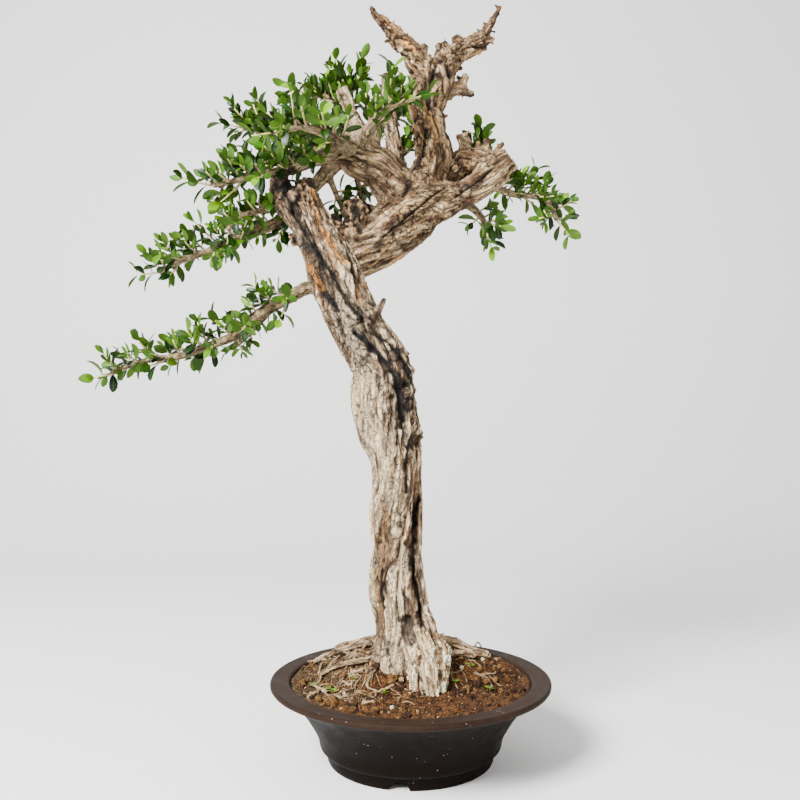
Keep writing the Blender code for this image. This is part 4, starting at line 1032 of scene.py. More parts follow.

# Colours of the wood's surfaces; those in threes are crest, middle and furrow, the furrow colour being
# painted shade in the low places.
woodColours = {
    "grey": ((220, 202, 172), (176, 150, 120), (98, 73, 54)),
    "warm": ((210, 188, 154), (160, 132, 98), (86, 62, 43)),
    "white": ((238, 226, 204), (208, 188, 158), (118, 92, 68)),
    "deadOchre": (190, 140, 86),
    "barkDark": (112, 87, 62),
    "barkPale": (212, 193, 162),
    "barkGrey": (152, 142, 128),
    "barkOchre": (184, 152, 110),
    # painted shade in the bark's cracks, the deep ones near black
    "barkCrack": (66, 48, 34),
    "barkDeep": (26, 17, 12),
    "burlPale": (186, 152, 114),
    # painted shade between the burl's lumps and in its cracks
    "burlDark": (44, 33, 27),
    "burlCrack": (20, 15, 12),
    "branchPale": (176, 158, 124),
    "branchDark": (112, 96, 70),
    "rootPale": (186, 166, 136),
    "rootDark": (108, 84, 60),
    # painted shade in the flat-bottomed recesses
    "recess": (70, 58, 50),
    "footCream": (244, 232, 210),
}

# The wood's fine pattern, worked out in the shader: scales per mm along and across the grain.
fineGrain = {
    "wanderScale": 0.22,
    "wander": 3.4,
    "fibre": (0.045, 0.44, 0.44),
    "speck": 0.5,
    "patch": 0.07,
    "splits": (0.035, 0.28, 0.28),
    "plates": (0.13, 0.23, 0.23),
    "relief": 0.0012,
}


# Wood: the tint worked out for each point, with fine fibres along the grain and thin cracks darkened by
# painted shade.
# The tint's alpha says how far the surface is in plates: long splits at 0, a net of cracks at 1.
def feedWood(node, put):
    grain = attributeOf(node, "grain", "Vector")
    wander = node("ShaderNodeTexNoise", Vector=grain, Scale=fineGrain["wanderScale"], Detail=2.0)
    reach = (fineGrain["wander"],) * 3
    bend = {"n0": wander.outputs["Color"], "n1": reach, "n2": grain}
    bent = node("ShaderNodeVectorMath", {"operation": "MULTIPLY_ADD"}, **bend).outputs[0]
    fibre = grainNoise(node, stretched(node, bent, fineGrain["fibre"]), 1.0, 4.0, 0.68)
    speck = grainNoise(node, bent, fineGrain["speck"], 4.0, 0.7)
    patch = remap(node, grainNoise(node, grain, fineGrain["patch"], 2.0), 0.36, 0.56, 0.2, 1.0)
    nets = []
    for name in ("splits", "plates"):
        at = stretched(node, bent, fineGrain[name])
        edges = node("ShaderNodeTexVoronoi", {"feature": "DISTANCE_TO_EDGE"}, Vector=at, Scale=1.0)
        nets.append(remap(node, edges.outputs["Distance"], 0.02, 0.09, 1.0, 0.0))
    plated = attributeOf(node, "tint", "Alpha")
    net = node("ShaderNodeMix", {"data_type": "FLOAT"}, n0=plated, n2=nets[0], n3=nets[1]).outputs[0]
    crack = worked(node, "MULTIPLY", net, patch)
    shade = remap(node, fibre, 0.37, 0.60, 0.26, 1.66)
    dapple = remap(node, speck, 0.38, 0.62, 0.58, 1.38)
    both = worked(node, "MULTIPLY", shade, dapple)
    # painted shade: the cracks darkened to near black
    cracked = worked(node, "MULTIPLY", both, remap(node, crack, 0.0, 1.0, 1.0, 0.15))
    put("Base Color", shaded(node, attributeOf(node, "tint"), cracked))
    put("Normal", bumped(node, worked(node, "SUBTRACT", both, crack), fineGrain["relief"], 0.9))


woodMaterial = makeMaterial("oliveWood", feedWood, Roughness=0.86, Specular_IOR_Level=0.3)


# The surface roots' paths: outwards over the soil, bending to one side, thinner towards the end.
def rootPaths():
    paths = {}
    for number, (start, end, radius, bend) in enumerate(rootEnds):
        start, end = np.array(start, float), np.array(end, float)
        across = np.array([end[1] - start[1], start[0] - end[0]]) / np.linalg.norm(end - start)
        path = []
        for share in np.linspace(0, 1, 7):
            x, y = start + (end - start) * share + across * bend * math.sin(share * 5.0)
            thick = radius * (1 - 0.4 * share)
            path.append((x, y, float(soilHeight(x, y)) + thick * 1.1 + 1.2, thick))
        paths[f"root{number}"] = path
    return paths


# Thin cords wound along a limb just under its surface, which raise the rope-like ridges of weathered wood.
def cordsOn(path, name):
    chance = random.Random(name)
    rows = smoothPath(path, 3.0)
    _, sideA, sideB, along = framesAlong(rows[:, :3])
    twist = grainOf.get(name, ("dead", 1.0))[1]
    cords = []
    for number in range(woodLook["cordCount"]):
        start, end = sorted((chance.uniform(-0.1, 0.7), chance.uniform(0.3, 1.0)))
        low, high = max(0, int(start * len(rows))), min(len(rows), int(end * len(rows)))
        if high - low < 6:
            continue
        angle = number * 2.4 + chance.uniform(-0.4, 0.4) + along[low:high] * twist * 2 * math.pi / 1000
        angle = angle + 0.25 * np.sin(along[low:high] / 14.0 + number)
        size = chance.uniform(*woodLook["cordSize"])
        ends = np.sin(np.linspace(0.12, math.pi - 0.12, high - low)) ** 0.5
        radius = rows[low:high, 3] * size * ends
        reach = rows[low:high, 3] * 1.02 - radius * chance.uniform(*woodLook["cordSunk"])
        out = np.cos(angle)[:, None] * sideA[low:high] + np.sin(angle)[:, None] * sideB[low:high]
        cords.append(np.column_stack([rows[low:high, :3] + reach[:, None] * out, radius]))
    return cords


# Short torn chips that stand out of a limb: each starts inside it, leans along the grain and ends blunt.
def chipsOn(path, name):
    chance = random.Random("chips-" + name)
    rows = smoothPath(path, 2.0)
    tangents, sideA, sideB, along = framesAlong(rows[:, :3])
    chips = []
    for _ in range(int(along[-1] / woodLook["chipSpacing"]) + 2):
        index = chance.randrange(1, len(rows) - 1)
        turn = chance.uniform(0, 2 * math.pi)
        out = math.cos(turn) * sideA[index] + math.sin(turn) * sideB[index]
        centre, radius = rows[index, :3], rows[index, 3]
        lean = tangents[index] * chance.uniform(-0.9, 0.9)
        wide = max(1.5, radius * chance.uniform(0.16, 0.34))
        reach = radius * 0.9 + chance.uniform(0.8, woodLook["chipReach"])
        steps = [(0.6 * radius, 1.0), (0.5 * (0.6 * radius + reach), 0.95), (reach, 0.62)]
        chips.append(np.array([[*(centre + (out + lean * 0.5) * far), wide * size] for far, size in steps]))
    return chips


# Tubes, cords and chips grown into one closed surface by a voxel remesh: points, normals and quads.
def growTogether(limbs, voxel):
    points, faces, first = [], [], 0
    for number, (name, path) in limbs.items():
        lobes = woodLook["lobes"] if name in woodPaths else 0.0
        tubes = [(smoothPath(path, 2.0), 32, lobes, number * 1.7)]
        if lobes and path[0][3] > woodLook["cordsFrom"]:
            tubes += [(rows, 12, 0.0, 0.0) for rows in cordsOn(path, name)]
        if grainOf.get(name, ("",))[0] in ("jagged", "burl"):
            tubes += [(rows, 7, 0.0, 0.0) for rows in chipsOn(path, name)]
        for rows, sides, deep, phase in tubes:
            p, quads, caps = tube(rows, sides, deep, phase)
            points.append(p)
            faces += (quads + first).tolist() + (caps + first).tolist()
            first += len(p)
    mesh = bpy.data.meshes.new("grown")
    mesh.from_pydata(np.vstack(points).tolist(), [], faces)
    thing = bpy.data.objects.new("grown", mesh)
    bpy.context.scene.collection.objects.link(thing)
    remesh = thing.modifiers.new("Remesh", "REMESH")
    remesh.mode = "VOXEL"
    remesh.voxel_size = voxel
    thing.modifiers.new("Smooth", "SMOOTH").iterations = 1
    bpy.context.view_layer.update()
    grown = bpy.data.meshes.new_from_object(thing.evaluated_get(bpy.context.evaluated_depsgraph_get()))
    bpy.data.objects.remove(thing)
    at = readField(grown.vertices, "co", 3).astype(float)
    normals = readField(grown.vertices, "normal", 3).astype(float)
    corners = readField(grown.loops, "vertex_index", 1, np.int32)
    sides = readField(grown.polygons, "loop_total", 1, np.int32).max()
    bpy.data.meshes.remove(grown)
    return at, normals, corners.reshape(-1, sides)


# For each point its two nearest limbs, each as a row:
# limb number, place along it, two offsets across, its radius there, distance from its surface.
def limbPlaces(points, limbs):
    rows = [smoothPath(path, 2.0) for _, path in limbs.values()]
    parts = [framesAlong(r[:, :3]) for r in rows]
    starts = np.cumsum([0] + [len(r) for r in rows])
    allRows = np.vstack(rows)
    tangent, sideA, sideB = (np.vstack([p[k] for p in parts]) for k in range(3))
    along = np.concatenate([p[3] for p in parts])
    squares = (allRows[:, :3] ** 2).sum(1)
    found = [[], []]
    block = 8192
    for low in range(0, len(points), block):
        p = points[low : low + block]
        apart = (p**2).sum(1)[:, None] + squares[None] - 2 * p @ allRows[:, :3].T
        far = np.sqrt(np.maximum(apart, 0)) - allRows[None, :, 3]
        nearest = np.minimum.reduceat(far, starts[:-1], axis=1)
        order = np.argsort(nearest, axis=1)[:, :2]
        for rank in (0, 1):
            limb = order[:, min(rank, order.shape[1] - 1)]
            index = np.zeros(len(p), int)
            for number in np.unique(limb):
                mine = limb == number
                index[mine] = starts[number] + far[mine, starts[number] : starts[number + 1]].argmin(axis=1)
            offset = p - allRows[index, :3]
            offsets = [(offset * way[index]).sum(1) for way in (tangent, sideA, sideB)]
            distance = nearest[np.arange(len(p)), limb]
            columns = [limb, along[index] + offsets[0], *offsets[1:], allRows[index, 3], distance]
            found[rank].append(np.stack(columns, 1))
    return [np.vstack(f) for f in found]


# Fewer triangles where the surface is smooth, until the piece has the given count.
def thinTo(piece, triangles):
    thin = piece.modifiers.new("Decimate", "DECIMATE")
    thin.ratio = min(1.0, triangles / (2 * len(piece.data.polygons)))
    bpy.context.view_layer.update()
    thinned = bpy.data.meshes.new_from_object(piece.evaluated_get(bpy.context.evaluated_depsgraph_get()))
    piece.modifiers.remove(thin)
    old, piece.data = piece.data, thinned
    bpy.data.meshes.remove(old)
    thinned.name = piece.name


# Places straightened along the grain: (length, across, across), turned with the grain's twist.
def straighten(place, names):
    twist = np.array([grainOf.get(name, ("dead", 1.0))[1] for name in names])[place[:, 0].astype(int)]
    angle = np.arctan2(place[:, 3], place[:, 2]) + place[:, 1] * twist * 2 * math.pi / 1000
    shift = place[:, 0] * 53.0
    return np.stack([place[:, 1] + shift, place[:, 4] * np.cos(angle), place[:, 4] * np.sin(angle)], 1)


# Olive bark: long cracks that break off and rough fibres, with small plates where plated is 1.
# Beige with grey and ochre, and painted shade in the cracks; q is the place along and across the grain.
def barkSurface(q, plated):
    names = ("Dark", "Pale", "Grey", "Ochre", "Crack", "Deep")
    colours = {name: srgb(*woodColours["bark" + name]) for name in names}
    bent = q + 2.2 * drift(q * 0.07, (1, 2, 3)) + 0.8 * drift(q * 0.3, (4, 5, 6))
    platy = plated * rise(-0.3, 0.2, noise(q * [0.02, 0.05, 0.05], 14))
    first, second, own = cells(bent / [7.0, 5.2, 5.2], 3)
    crack = (1 - rise(0.0, 0.22, second - first)) * platy
    plates = (own - 0.5) * platy
    lineLong = lineCracks(bent * [0.012, 0.12, 0.12], 0.15, 17)
    lineMiddle = lineCracks(bent * [0.022, 0.20, 0.20], 0.16, 18) * (1 - 0.6 * platy)
    lineShort = lineCracks(bent * [0.07, 0.30, 0.30], 0.15, 19)
    across = lineCracks(bent * [0.30, 0.10, 0.10], 0.10, 20) * 0.6
    rough = fractal(q * [0.05, 0.34, 0.34], 3, 12)
    panels = fractal(q * [0.02, 0.07, 0.07], 2, 13)
    depth = -0.9 * crack + 1.0 * plates - 2.2 * lineLong - 1.3 * lineMiddle - 0.7 * lineShort - 0.5 * across
    depth = depth + 0.9 * rough + 1.4 * panels + 0.8 * fractal(q * 0.09, 2, 15)
    pale = np.clip(0.5 + 0.8 * rough + 0.7 * panels + 0.4 * plates, 0, 1)
    tint = blendColours(colours["Dark"], colours["Pale"], rise(0.18, 0.82, pale))
    grey = rise(0.1, 0.5, fractal(q * [0.05, 0.12, 0.12], 2, 73))
    tint = blendColours(tint, colours["Grey"], grey * 0.4)
    ochre = rise(0.2, 0.5, fractal(q * [0.12, 0.3, 0.3], 2, 71))
    tint = blendColours(tint, colours["Ochre"], ochre * 0.3)
    # painted shade: the cracks darkened, and the long ones near black
    tint = blendColours(tint, colours["Crack"], np.maximum(crack, np.maximum(lineShort, across) * 0.8) * 0.95)
    return depth, blendColours(tint, colours["Deep"], np.maximum(lineLong, lineMiddle * 0.85))


# Weathered wood: furrows, fibres and splits that run with the grain, and lumps.
# Pale crests, the furrows and splits darkened by painted shade; plates adds torn flakes.
def deadSurface(q, colours, strength=1.0, plates=0.0):
    crest, mid, furrow = (srgb(*colour) for colour in colours)
    bent = q + [0, 1, 1] * (3.4 * drift(q * [0.03, 0.06, 0.06], (21, 22, 23)))
    bent = bent + [0.6, 1, 1] * (1.1 * drift(q * [0.14, 0.24, 0.24], (24, 26, 27)))
    wide = ridges(bent * [0.012, 0.07, 0.07], 2, 25)
    close = ridges(bent * [0.03, 0.20, 0.20], 2, 29)
    lumps = fractal(q * 0.11, 3, 31)
    fibre = fractal(bent * [0.035, 0.42, 0.42], 2, 33) * (1 - 0.6 * np.minimum(plates, 1))
    splitLong = lineCracks(bent * [0.012, 0.11, 0.11], 0.16, 37)
    splitMiddle = lineCracks(bent * [0.02, 0.19, 0.19], 0.15, 39) * (1 - 0.7 * np.minimum(plates, 1))
    splitShort = lineCracks(bent * [0.05, 0.32, 0.32], 0.18, 41)
    depth = strength * (1.7 * (wide - 0.45) + 1.3 * (close - 0.45) + 1.5 * lumps + 0.8 * fibre)
    depth = depth - 2.2 * splitLong - 1.4 * splitMiddle - 0.8 * splitShort
    height = np.clip(0.52 + 0.45 * (wide - 0.45) + 0.6 * (close - 0.42) + 0.5 * lumps + 0.9 * fibre, 0, 1)
    if np.any(plates):
        first, second, own = cells(bent / [6.2, 4.4, 4.4], 43)
        stuck = rise(-0.25, 0.15, noise(q * [0.03, 0.06, 0.06], 45))
        edge = (1 - rise(0.0, 0.22, second - first)) * stuck
        depth = depth + plates * stuck * (3.6 * (own - 0.4)) - 1.2 * plates * edge
        # painted shade: the flakes' cracked edges darker
        height = np.clip(height + 0.35 * stuck * (own - 0.4) - 0.6 * edge * plates, 0, 1)
    # painted shade: the tint follows the height of the relief, darkest in the furrows
    tint = blendColours(furrow, mid, rise(0.0, 0.42, height))
    tint = blendColours(tint, crest, rise(0.42, 0.9, height))
    ochre = rise(0.25, 0.6, fractal(q * [0.04, 0.2, 0.2], 2, 47))
    tint = blendColours(tint, srgb(*woodColours["deadOchre"]), ochre * 0.45)
    splits = np.maximum(np.maximum(splitLong, splitMiddle * 0.9), splitShort * 0.8)
    # painted shade: the splits near black
    return depth, blendColours(tint, furrow * 0.22, splits)


# Knotted wood: lumps that swirl together, with painted shade between them, and pale and black crumbs.
def burlSurface(q):
    bent = q + 4.0 * drift(q * 0.07, (51, 52, 53))
    lump = fractal(bent * 0.13, 3, 55)
    curl = ridges(bent * [0.16, 0.28, 0.28], 2, 57)
    crumb = fractal(q * 0.36, 2, 59)
    depth = 2.6 * lump + 1.8 * (curl - 0.5) + 1.3 * crumb
    height = rise(0.05, 0.95, 0.40 + 0.7 * lump + 0.5 * (curl - 0.4) + 1.0 * crumb)
    # painted shade: darker where the relief is lower
    tint = blendColours(srgb(*woodColours["burlDark"]), srgb(*woodColours["burlPale"]), height)
    cracks = lineCracks(bent * [0.12, 0.2, 0.2], 0.16, 60)
    # painted shade: the cracks near black
    return depth, blendColours(tint, srgb(*woodColours["burlCrack"]), cracks)


# Live branches: smooth bark with fine cracks and rings.
def branchSurface(q):
    rough = fractal(q * [0.35, 0.7, 0.7], 3, 61)
    ring = noise(q * [0.45, 0.02, 0.02], 63)
    dark = np.clip(0.45 + 0.8 * rough + 0.3 * ring, 0, 1)
    tint = blendColours(srgb(*woodColours["branchPale"]), srgb(*woodColours["branchDark"]), dark)
    return 0.30 * rough + 0.18 * ring, tint


# Roots at the surface: knotted and ringed, the colour of dry earth.
def rootSurface(q):
    knots = fractal(q * 0.16, 3, 81)
    fine = fractal(q * [0.3, 0.8, 0.8], 3, 83)
    dark = np.clip(0.5 + 0.9 * knots + 0.7 * fine, 0, 1)
    tint = blendColours(srgb(*woodColours["rootPale"]), srgb(*woodColours["rootDark"]), dark)
    return 3.4 * knots + 1.1 * fine, tint


# Depth and tint of the surface at places on limbs of the given kinds, and how far each has plates of bark.
# The trunk is bark on the left of barkEdge and bare wood on its right, and crumbles at its top.
def surfaceOf(points, place, names):
    q = straighten(place, names)
    kinds = [grainOf.get(name, ("root" if name[:4] == "root" else "dead", 0))[0] for name in names]
    kinds = np.array(["branch" if name in branchPaths else kind for name, kind in zip(names, kinds)])
    kind = kinds[place[:, 0].astype(int)]
    crumbled = (kind == "trunk") & (points[:, 2] > woodLook["crumbleFrom"] + 9 * noise(points * 0.12, 79))
    kind = np.where(crumbled, "burl", kind)
    depth, tint = np.zeros(len(points)), np.zeros((len(points), 3))
    edge = np.array(woodLook["barkEdge"], float)
    side = points[:, 0] - np.interp(points[:, 2], edge[:, 0], edge[:, 1])
    side = side + 6 * noise(points * 0.05, 77) + 2 * noise(points * 0.25, 78)
    bare = np.where(kind == "trunk", rise(-2.0, 2.0, side), np.where(kind == "bark", 0.0, 1.0))
    fromHub = np.linalg.norm((points - woodLook["hub"]) * [1, 0.6, 1], axis=1) + 6 * noise(points * 0.06, 80)
    hub = 0.1 + 0.6 * rise(46, 22, fromHub)
    looks = (
        ("trunk", "grey", 1.0, 0.0), ("dead", "grey", 0.8, 0.3), ("crown", "warm", 0.8, hub),
        ("jagged", "warm", 0.9, 1.0), ("bleached", "white", 1.3, 0.9),
    )
    for name, colours, strength, plates in looks:
        mine = (kind == name) & (bare > 0)
        if mine.any():
            share = plates[mine] if name == "crown" else plates
            depth[mine], tint[mine] = deadSurface(q[mine], woodColours[colours], strength, share)
    mine = bare < 1
    plateShare = 0.2 + 0.8 * rise(235, 285, points[:, 2])
    if mine.any():
        barkDepth, barkTint = barkSurface(q[mine], plateShare[mine])
        share = bare[mine]
        depth[mine] = barkDepth * (1 - share) + depth[mine] * share
        tint[mine] = blendColours(barkTint, tint[mine], share)
    for name, surface in (("burl", burlSurface), ("branch", branchSurface), ("root", rootSurface)):
        mine = kind == name
        if mine.any():
            depth[mine], tint[mine] = surface(q[mine])
    slim = np.clip(place[:, 4] / 8.0, 0.12, 1.0)
    plated = np.where(kind == "crown", 1.5 * hub - 0.1, (1 - bare) * plateShare)
    plated = np.where(kind == "branch", 0.35, np.where(kind == "jagged", 0.8, plated))
    return depth * slim, tint, q, plated


# What is carved and stained at the places in woodLook, and the painted shade there: how far each point moves
# out and back, and its tint.
# It is placed as the viewer sees it, on the front alone, so distances count depth (y) only in part.
def carve(points, normals, grain, depth, tint):
    flat = points * [1, woodLook["depthShare"], 1]
    behind = 60 * rise(-0.2, 0.3, normals[:, 1])

    def nearTo(path):
        line = smoothPath([(x, y * woodLook["depthShare"], z, 1.0) for x, y, z in path], 3.0)[:, :3]
        far = np.full(len(points), 1e9)
        for start, end in zip(line, line[1:]):
            far = np.minimum(far, fromSegment(flat, start, end))
        return far + behind

    def nearSpot(centre):
        return nearTo([centre, centre + np.array([0, 0, 0.5])])

    bend = 1 + 0.35 * noise(points * 0.22, 93)
    back = np.zeros(len(points))
    for path, width, high in woodLook["ropes"]:
        near = nearTo(path) * bend / width
        depth = depth + high * np.exp(-(near**2)) - 0.4 * high * np.exp(-(((near - 1.7) / 0.4) ** 2))
        # painted shade: a dark line in the crease beside each rope
        tint = tint * (1 - 0.6 * np.exp(-(((near - 1.7) / 0.35) ** 2)))[:, None]
    for path, width, deep in woodLook["grooves"]:
        near = nearTo(path) * bend / width
        back = back + deep * np.exp(-(near**2))
        # painted shade: the groove darkened to near black
        tint = tint * (1 - 0.93 * rise(1.2, 0.6, near))[:, None]
    for centre, width, deep in woodLook["hollows"]:
        cut = np.exp(-((nearSpot(centre) * bend / width) ** 2))
        back = back + deep * cut
        # painted shade: the hollow darkened
        tint = tint * (1 - 0.85 * rise(0.25, 0.75, cut))[:, None]
    for start, end, width, deep in woodLook["recesses"]:
        cut = rise(1.15, 0.85, nearTo([start, end]) / width + 0.2 * noise(points * 0.3, 94))
        back = back + deep * cut
        # painted shade: the recess tinted dark
        lit = 0.25 + tint.mean(1)[:, None] * 2.0
        tint = blendColours(tint, srgb(*woodColours["recess"]) * lit, cut * 0.95)
    for centre, width, high in woodLook["burls"]:
        near = nearSpot(centre) / width * bend
        ring = np.exp(-(((near - 1.25) / 0.3) ** 2))
        depth = depth + high * (np.exp(-(near**2)) - 0.5 * ring)
        # painted shade: the ring furrow round the burl darkened
        tint = tint * (1 - 0.7 * ring)[:, None]
    ragged = 0.8 * noise(points * 0.16, 95) + 1.1 * noise(grain * [0.035, 0.36, 0.36], 96)
    # painted shade: darkened patches of wood
    for start, end, width, strength in woodLook["paintedShadePatches"]:
        share = rise(1.3, 0.5, nearTo([start, end]) / width + 0.45 * ragged) * strength
        tint = tint * (1 - share * rise(0.75, 0.1, tint.mean(1)))[:, None]
    for start, end, width in woodLook["char"]:
        share = rise(1.3, 0.6, nearTo([start, end]) / width + 0.5 * ragged)
        tint = blendColours(tint, tint * woodLook["charLeft"], share)
    for start, end, width, colour in woodLook["stains"]:
        share = rise(1.2, 0.6, nearTo([start, end]) / width + 0.5 * ragged)
        lit = 0.35 + tint.mean(1)[:, None] * 1.5
        tint = blendColours(tint, srgb(*colour) * lit, share * 0.9)
    return depth, back, tint


# A piece of wood: limbs grown together, coloured and roughened by kind, carved, then thinned.
# Where two limbs meet, their surfaces blend over 5 mm.
def makeWoodPiece(name, limbs, voxel, triangles):
    points, normals, faces = growTogether(limbs, voxel)
    names = [limbName for limbName, _ in limbs.values()]
    first, second = limbPlaces(points, limbs)
    depth, tint, grain, plated = surfaceOf(points, first, names)
    otherDepth, otherTint, _, _ = surfaceOf(points, second, names)
    share = 0.5 * (1 - rise(0, 5.0, second[:, 5] - first[:, 5]))
    depth = depth * (1 - share) + otherDepth * share
    depth = depth + 0.9 * fractal(points * 0.035, 2, 91) * np.clip(first[:, 4] / 12.0, 0.1, 1)
    tint = blendColours(tint, otherTint, share)
    depth, back, tint = carve(points, normals, grain, depth, tint)
    if name == "trunkWood":
        pale = rise(112, 94, points[:, 2]) * rise(-6, 2, points[:, 0])
        tint = blendColours(tint, np.minimum(tint * 1.5, srgb(*woodColours["footCream"])), pale * 0.85)
    points = points + normals * depth[:, None] + np.outer(back, [0, 1, 0])
    points[:, 2] = np.maximum(points[:, 2], woodLook["flatBottom"])
    lower = 1 + woodLook["footLift"] * rise(225, 165, points[:, 2]) * (name == "trunkWood")
    tint = withAlpha(np.clip(tint * woodLook["warmth"] * lower[:, None], 0, 1), plated)
    piece = makePiece(name, points, faces, woodMaterial, "wood", ["wood"], tint=tint, grain=grain)
    thinTo(piece, triangles)
    print(name, sum(len(face.vertices) - 2 for face in piece.data.polygons), "triangles")


# Limbs by number, so that each keeps the lobes of its CAD solid.
def makeWood():
    order = list(woodPaths)
    onTrunk = woodLook["onTrunk"]
    trunk = {order.index(name): (name, woodPaths[name]) for name in onTrunk}
    trunk.update({100 + k: item for k, item in enumerate(rootPaths().items())})
    crown = {k: (name, woodPaths[name]) for k, name in enumerate(order) if name not in onTrunk}
    branches = {200 + k: item for k, item in enumerate(branchPaths.items())}
    makeWoodPiece("trunkWood", trunk, woodLook["trunkVoxel"], woodLook["trunkTriangles"])
    makeWoodPiece("crownWood", crown, woodLook["crownVoxel"], woodLook["crownTriangles"])
    makeWoodPiece("liveBranches", branches, woodLook["branchVoxel"], woodLook["branchTriangles"])


leafLook = {
    # outline: places along the blade, and its width there
    "stations": (0.0, 0.10, 0.28, 0.52, 0.76, 0.92, 1.0),
    "widths": (0.10, 0.34, 0.78, 1.0, 0.88, 0.50, 0.08),
    "widthShare": 0.50,
    "thickness": 0.36,
    "foldDegrees": 16.0,
    "droop": 0.14,
    "length": (10.0, 16.0),
    "pairSpacing": 5.2,
    "missing": 0.08,
    "turnDegrees": 137.5,
    "clear": 0.8,
    "twigRadii": (1.0, 0.85, 0.7, 0.45),
    # more sprays on each live branch: how many, from what share of its length, twig length
    "more": {
        "lower": (30, 0.10, 13), "lower_under": (4, 0.50, 12), "middle": (26, 0.22, 15),
        "middle_side": (8, 0.30, 15), "canopy_left": (26, 0.14, 17), "canopy_high_left": (24, 0.16, 17),
        "canopy_front": (20, 0.18, 17), "canopy_top": (18, 0.22, 18), "canopy_crest": (10, 0.25, 16),
        "canopy_right": (14, 0.30, 16), "canopy_back": (17, 0.30, 17), "canopy_back_right": (17, 0.30, 18),
        "right": (18, 0.30, 14), "right_lower": (7, 0.50, 13), "right_back": (7, 0.60, 12),
        "innerLow": (9, 0.2, 13), "innerMiddle": (5, 0.3, 12), "innerHigh": (8, 0.25, 13),
    },
    # colours, each pair from the leaf's chance or age
    "young": ((38, 88, 0), (112, 158, 0)),
    "grown": ((0, 18, 2), (14, 48, 0)),
    "under": ((20, 46, 6), (72, 108, 12)),
    "midrib": (96, 132, 30),
    "twigWood": (150, 128, 98),
    "twigTip": (206, 200, 120),
    "seedlings": [
        (-76, -22), (-58, -38), (-62, -33), (-44, -22), (34, -26), (47, -10), (52, 10), (28, -14), (60, -32),
        (-20, -40),
    ],
    "seedlingLength": (3.0, 4.4),
}


# Leaves: tone holds (age, chance, distance from the midrib); under is 1 on the lower side.
def feedLeaf(node, put):
    age, chance, fromMidrib = node("ShaderNodeSeparateColor", Color=attributeOf(node, "tone")).outputs
    under = attributeOf(node, "under", "Fac")
    patches = grainNoise(node, objectPlace(node), 500.0, 3.0)
    young = mixed(node, *(srgb(*colour) for colour in leafLook["young"]), chance)
    grown = mixed(node, *(srgb(*colour) for colour in leafLook["grown"]), chance)
    upper = mixed(node, grown, young, remap(node, age, 0.50, 1.0, 0.0, 1.0))
    upper = mixed(node, upper, srgb(*leafLook["midrib"]), remap(node, fromMidrib, 0.0, 0.14, 0.34, 0.0))
    lower = mixed(node, *(srgb(*colour) for colour in leafLook["under"]), age)
    shade = remap(node, patches, 0.3, 0.7, 0.82, 1.15)
    put("Base Color", shaded(node, mixed(node, upper, lower, under), shade))
    put("Roughness", remap(node, under, 0.0, 1.0, 0.40, 0.62))
    put("Normal", bumped(node, patches, 0.0002, 0.5))


leafMaterial = makeMaterial("oliveLeaf", feedLeaf, Specular_IOR_Level=0.24)


# A CAD spray read back: the twig's line from its thick end, and for each blade its root, side vector and tip.
# A blade's tip is a point with four near neighbours, with two rings of four points between it and the twig.
def readSpray(node):
    at = pointsOf(node)
    _, firstOf, index = np.unique(np.round(at, 2), axis=0, return_index=True, return_inverse=True)
    at, index = at[firstOf], index.reshape(-1)
    near = {}
    for edge in node.data.edges:
        a, b = (int(index[k]) for k in edge.vertices)
        if a != b:
            near.setdefault(a, set()).add(b)
            near.setdefault(b, set()).add(a)
    blades, taken = [], set()
    for tip, ring in near.items():
        if len(ring) != 4 or min(np.linalg.norm(at[tip] - at[k]) for k in ring) < 2.0:
            continue
        middle = set().union(*(near[k] for k in ring)) - ring - {tip}
        base = set().union(*(near[k] for k in middle)) - ring - middle
        if len(middle) != 4 or len(base) < 4:
            continue
        _, a, b = max((np.linalg.norm(at[a] - at[b]), a, b) for a in middle for b in middle if a < b)
        closest = sorted(base, key=lambda k: min(np.linalg.norm(at[k] - at[m]) for m in middle))[:4]
        blades.append((at[closest].mean(0), at[a] - at[b], at[tip]))
        taken |= {tip} | ring | middle
    stem = at[[k for k in range(len(at)) if k not in taken and k in near]]
    centre = stem.mean(0)
    axis = np.linalg.svd(stem - centre)[2][0]
    lean = np.mean([tip - root for root, _, tip in blades], axis=0) if blades else axis
    if axis @ lean < 0:
        axis = -axis
    order = np.argsort((stem - centre) @ axis)
    return (stem[order[:4]].mean(0), centre, stem[order[-4:]].mean(0)), blades


